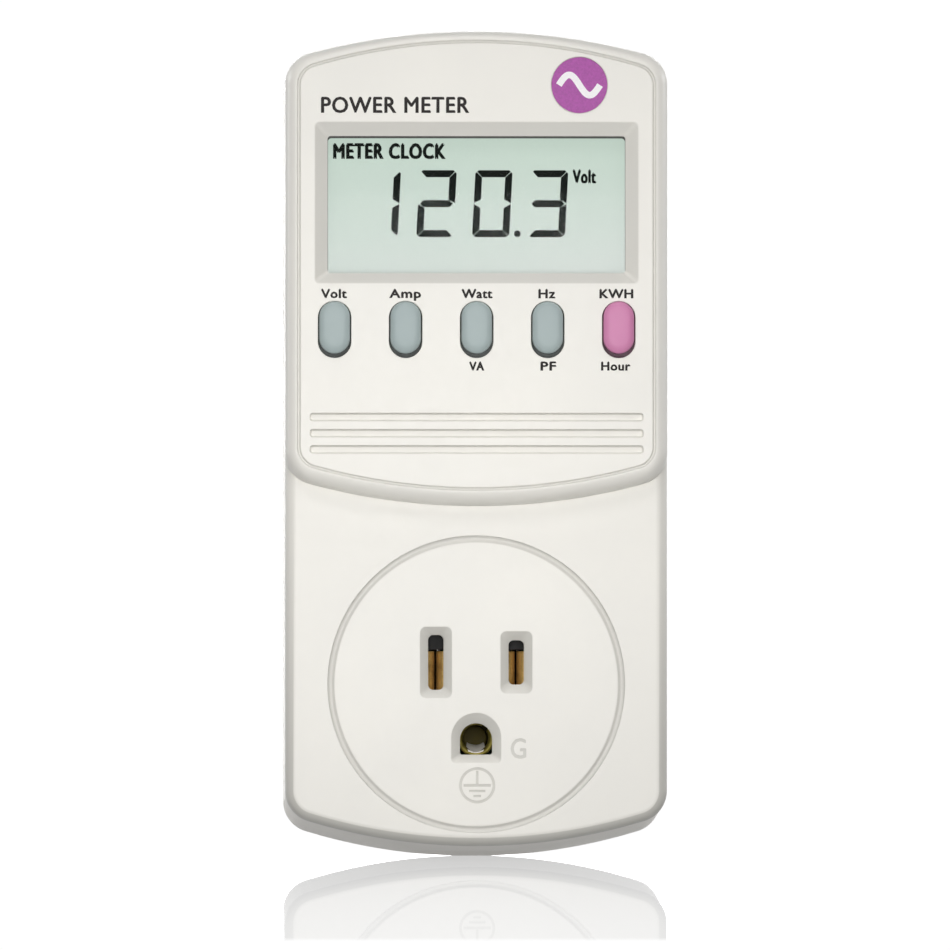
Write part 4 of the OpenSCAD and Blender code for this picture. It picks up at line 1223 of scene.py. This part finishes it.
def build_ground_tongue():
    """A curved tinned strip at the bottom of the ground sleeve, rising to the back."""
    length_steps, width_steps, thick = 14, 10, 0.22
    verts, faces = [], []
    for layer in (0, 1):
        for k in range(length_steps + 1):
            along = k / length_steps
            y = ground_low.y + 0.1 + 4.2 * along
            z = PIN_Z - 2.28 + 1.2 * math.sin(along * math.pi / 2)
            half = 1.5 - 0.2 * along - (0.3 * (1 - along * 8) if along < 0.125 else 0)
            for i in range(width_steps + 1):
                across = -1 + 2 * i / width_steps
                verts.append((half * across, y, z + 0.42 * across * across - thick * layer))
    row = width_steps + 1
    sheet = (length_steps + 1) * row
    for k in range(length_steps):
        for i in range(width_steps):
            a = k * row + i
            b = a + sheet
            faces.append((a, a + 1, a + row + 1, a + row))
            faces.append((b, b + row, b + row + 1, b + 1))
    rim = ([k * row for k in range(length_steps + 1)]
           + [length_steps * row + i for i in range(1, row)]
           + [k * row + width_steps for k in range(length_steps - 1, -1, -1)]
           + list(range(width_steps - 1, 0, -1)))
    for i, a in enumerate(rim):
        b = rim[(i + 1) % len(rim)]
        faces.append((a, b, b + sheet, a + sheet))
    tongue = from_faces(verts, faces, "ground_tongue")
    smooth(tongue, 40)
    # painted shade towards the back of the strip
    paint(tongue, lambda x, y, z: clamp((y - ground_low.y - 3.2) / 2.5))
    finish_piece(tongue, "contact_tin")


def build_slot_shades():
    """Near-black blocks behind the upper part of the two slots, standing in for the shade there.
    """
    front_y = box("contact_block")[0].y + 0.6
    z0, z1 = 2.0, 6.2
    # depth, growth
    section = ((0, -0.15), (0.05, -0.05), (0.15, 0), (0.75, 0), (0.85, -0.05), (0.9, -0.15))
    for name, x in (("slot_shade_hot", BLADE_X), ("slot_shade_neutral", -BLADE_X)):
        slot_shade = loft([(front_y + depth, rounded_rect(x, (z0 + z1) / 2, 3.6 + 2 * grow,
                                                      z1 - z0 + 2 * grow, 0.3, 4))
                       for depth, grow in section], name)
        smooth(slot_shade, 50)
        finish_piece(slot_shade, "block_black")


def build_ground_shade_disc():
    """A dark disc with a rounded front edge, deep in the ground sleeve, standing in for the shade
    there.
    """
    # depth, inset
    section = ((0, 0.6), (0.03, 0.2), (0.1, 0.04), (0.16, 0), (0.3, 0), (0.34, 0.06))
    shade_disc = loft([(-21.3 + depth, circle(0, PIN_Z, 1.97 - inset, 48))
                 for depth, inset in section], "ground_shade_disc")
    smooth(shade_disc, 50)
    finish_piece(shade_disc, "ground_shade_disc")


# ---------------------------------------------------------------- label and kept CAD nodes
def build_label_print():
    """Ruled border and blank rows on the rear label."""
    y0, y1 = label_high.y - 0.01, label_high.y + 0.02
    margin, stroke, rows = 1.2, 0.22, 4
    x0, x1 = label_low.x + margin, label_high.x - margin
    z0, z1 = label_low.z + margin, label_high.z - margin
    middle, width, height = (z0 + z1) / 2, x1 - x0, z1 - z0
    border = frame(rounded_rect(0, middle, width, height, 0.8, 6),
                   rounded_rect(0, middle, width - 2 * stroke, height - 2 * stroke, 0.6, 6),
                   y0, y1, "label_border")
    smooth(border, 40, weighted=False)
    finish_piece(border, "print_grey")
    rule_zs = [z1 - height * k / rows for k in range(1, rows)]
    rules = prisms([rect(x0 + 1, x1 - 1, z - 0.07, z + 0.07) for z in rule_zs], y0, y1,
                   "label_rules")
    finish_piece(rules, "print_grey")


def soften(node, width, segments):
    """Rounds a kept node's edges with modifiers; its own mesh stays as it is."""
    modifiers = NODES[node].modifiers
    weld = modifiers.new("weld", "WELD")
    weld.merge_threshold = 2e-6
    bevel = modifiers.new("bevel", "BEVEL")
    bevel.width = width * MM
    bevel.segments = segments
    bevel.limit_method = "ANGLE"
    bevel.angle_limit = math.radians(35)
    bevel.harden_normals = False
    modifiers.new("normals", "WEIGHTED_NORMAL").keep_sharp = False


build_front()
build_rear()
build_outlet()
for i, key in enumerate(("volt", "amp", "watt", "hz", "kwh")):
    build_button(key, (i - 2) * BUTTON_PITCH, "button_pink" if key == "kwh" else "button_grey")
build_mask()
build_digits()
build_print()
build_badge()
build_leaf_contact("hot_contact", BLADE_X)
build_leaf_contact("neutral_contact", -BLADE_X)
build_ground_contact()
build_ground_tongue()
build_slot_shades()
build_ground_shade_disc()
build_label_print()
soften("plug_blade_hot", width=0.18, segments=3)
soften("plug_blade_neutral", width=0.18, segments=3)
soften("case_screws", width=0.08, segments=2)


# ---------------------------------------------------------------- floor (metres in the shader)
def floor_material(name):
    """A pale sheet, mirroring at a grazing angle in front; white in the distance."""
    mat = new_material(name)
    position = mat.add("ShaderNodeNewGeometry").outputs["Position"]
    y = mat.component(position, "Y")
    facing = mat.add("ShaderNodeLayerWeight", {"Blend": 0.5}).outputs["Facing"]
    # mirror: stronger towards the meter, none far in front, behind it or seen from above
    near = mat.ramp(y, span=(-1.35, -0.02), to=(0.30, 0.55))
    cut = mat.ramp(y, span=(-1.345, -1.315))
    ahead = mat.ramp(y, span=(0.03, 0.06), to=(1.0, 0.0))
    skim = mat.ramp(facing, span=(0.955, 0.985))
    mirror = mat.calc("MULTIPLY", mat.calc("MULTIPLY", near, cut),
                      mat.calc("MULTIPLY", skim, ahead))
    # pale sheet near the meter, plain white far away
    cloud = mat.mix(mat.ramp(mat.noise(scale=3)), (0.5, 0.5, 0.5), (0.52, 0.52, 0.52))
    diffuse = mat.add("ShaderNodeBsdfDiffuse", {"Color": cloud}).outputs[0]
    sheet = mat.add("ShaderNodeAddShader",
                    {0: mat.emission(color=(1, 1, 1), strength=0.70), 1: diffuse}).outputs[0]
    away = mat.add("ShaderNodeVectorMath", {0: position}, operation="LENGTH").outputs["Value"]
    graze = mat.calc("POWER", facing, 6.0)
    far = mat.calc("MAXIMUM", mat.ramp(away, span=(0.14, 0.42)),
                   mat.ramp(graze, span=(0.75, 0.95)))
    base = mat.mix_shader(far, sheet, mat.emission(color=(1, 1, 1), strength=1.02))
    gloss = mat.add("ShaderNodeBsdfGlossy", {"Roughness": 0.006}).outputs[0]
    seen = mat.mix_shader(mirror, base, gloss)
    # diffuse rays meet a dimmer floor
    bounce = mat.add("ShaderNodeLightPath").outputs["Is Diffuse Ray"]
    soft = mat.emission(color=(1, 1, 0.985), strength=0.20)
    mat.finish(mat.mix_shader(bounce, seen, soft))


def build_floor():
    half_x, half_y, z = 3200, 2600, BOTTOM_Z + 0.05
    verts = [(x, y, z) for y in (-half_y, half_y) for x in (-half_x, half_x)]
    sheet = from_faces(verts, [(0, 1, 3, 2)], "floor_sheet")
    if sheet.data.polygons[0].normal.z < 0:
        sheet.data.flip_normals()
    floor_material("floor_pale")
    sheet.data.materials.append(MATERIALS["floor_pale"])


build_floor()

# ---------------------------------------------------------------- world, lights, camera (metres)
scene = bpy.context.scene


def build_world():
    """Bright to the camera and to reflections, dim as a light source."""
    scene.world = scene.world or bpy.data.worlds.new("studio")
    sky = Shader(scene.world, "ShaderNodeOutputWorld")
    bright = sky.add("ShaderNodeBackground", {"Color": (1, 1, 1), "Strength": 1.02})
    dim = sky.add("ShaderNodeBackground", {"Color": (1.0, 0.995, 0.985), "Strength": 0.07})
    rays = sky.add("ShaderNodeLightPath").outputs
    seen = sky.calc("MAXIMUM", rays["Is Camera Ray"], rays["Is Glossy Ray"])
    sky.finish(sky.mix_shader(seen, dim.outputs[0], bright.outputs[0]))


LIGHT_TARGET = Vector((0, -0.02, 0.034))
# name, azimuth (0 is straight in front), elevation, distance, size, watts, colour
LIGHTS = (
    ("panel_front", -2, -1, 0.29, 0.11, 0.425, (1.0, 0.995, 0.985)),
    ("panel_high", -5, 50, 1.8, 0.5, 6.0, (1.0, 0.99, 0.98)),
    ("panel_back", 180, 6, 1.4, 0.7, 9.0, (1, 1, 1)),
    ("panel_left", -120, 14, 1.2, 0.4, 3.8, (1, 1, 1)),
    ("panel_right", 120, 14, 1.2, 0.4, 3.8, (1, 1, 1)),
    ("panel_top", 0, 82, 1.2, 0.6, 3.4, (1, 1, 1)))


def build_light(name, azimuth, elevation, distance, size, power, color):
    """A soft square panel aimed at the meter."""
    light = bpy.data.lights.new(name, "AREA")
    light.shape = "SQUARE"
    light.size = size
    light.energy = power
    light.color = color
    lamp = link(name, light)
    turn, rise = math.radians(azimuth), math.radians(elevation)
    lamp.location = LIGHT_TARGET + Vector((math.sin(turn) * math.cos(rise),
                                           -math.cos(turn) * math.cos(rise),
                                           math.sin(rise))) * distance
    lamp.rotation_euler = (LIGHT_TARGET - lamp.location).to_track_quat("-Z", "Y").to_euler()
    lamp.visible_camera = False


def build_camera():
    distance, view_width, sensor = 2.5, 0.1499, 36.0
    rise, turn = math.radians(1.1), math.radians(-1.2)
    aim = Vector((-0.0002, -0.038, 0.02956))
    view = Vector((-math.sin(turn) * math.cos(rise), math.cos(turn) * math.cos(rise),
                   math.sin(rise)))
    data = bpy.data.cameras.new("camera")
    data.sensor_width = sensor
    data.lens = sensor * distance / view_width
    data.clip_start = 0.05
    data.clip_end = 20.0
    camera = link("camera", data)
    camera.location = aim - view * distance
    camera.rotation_euler = view.to_track_quat("-Z", "Y").to_euler()
    scene.camera = camera


build_world()
for row in LIGHTS:
    build_light(*row)
build_camera()
scene.view_settings.view_transform = "Standard"
scene.view_settings.look = "None"
scene.view_settings.exposure = 0.0
scene.view_settings.gamma = 1.0
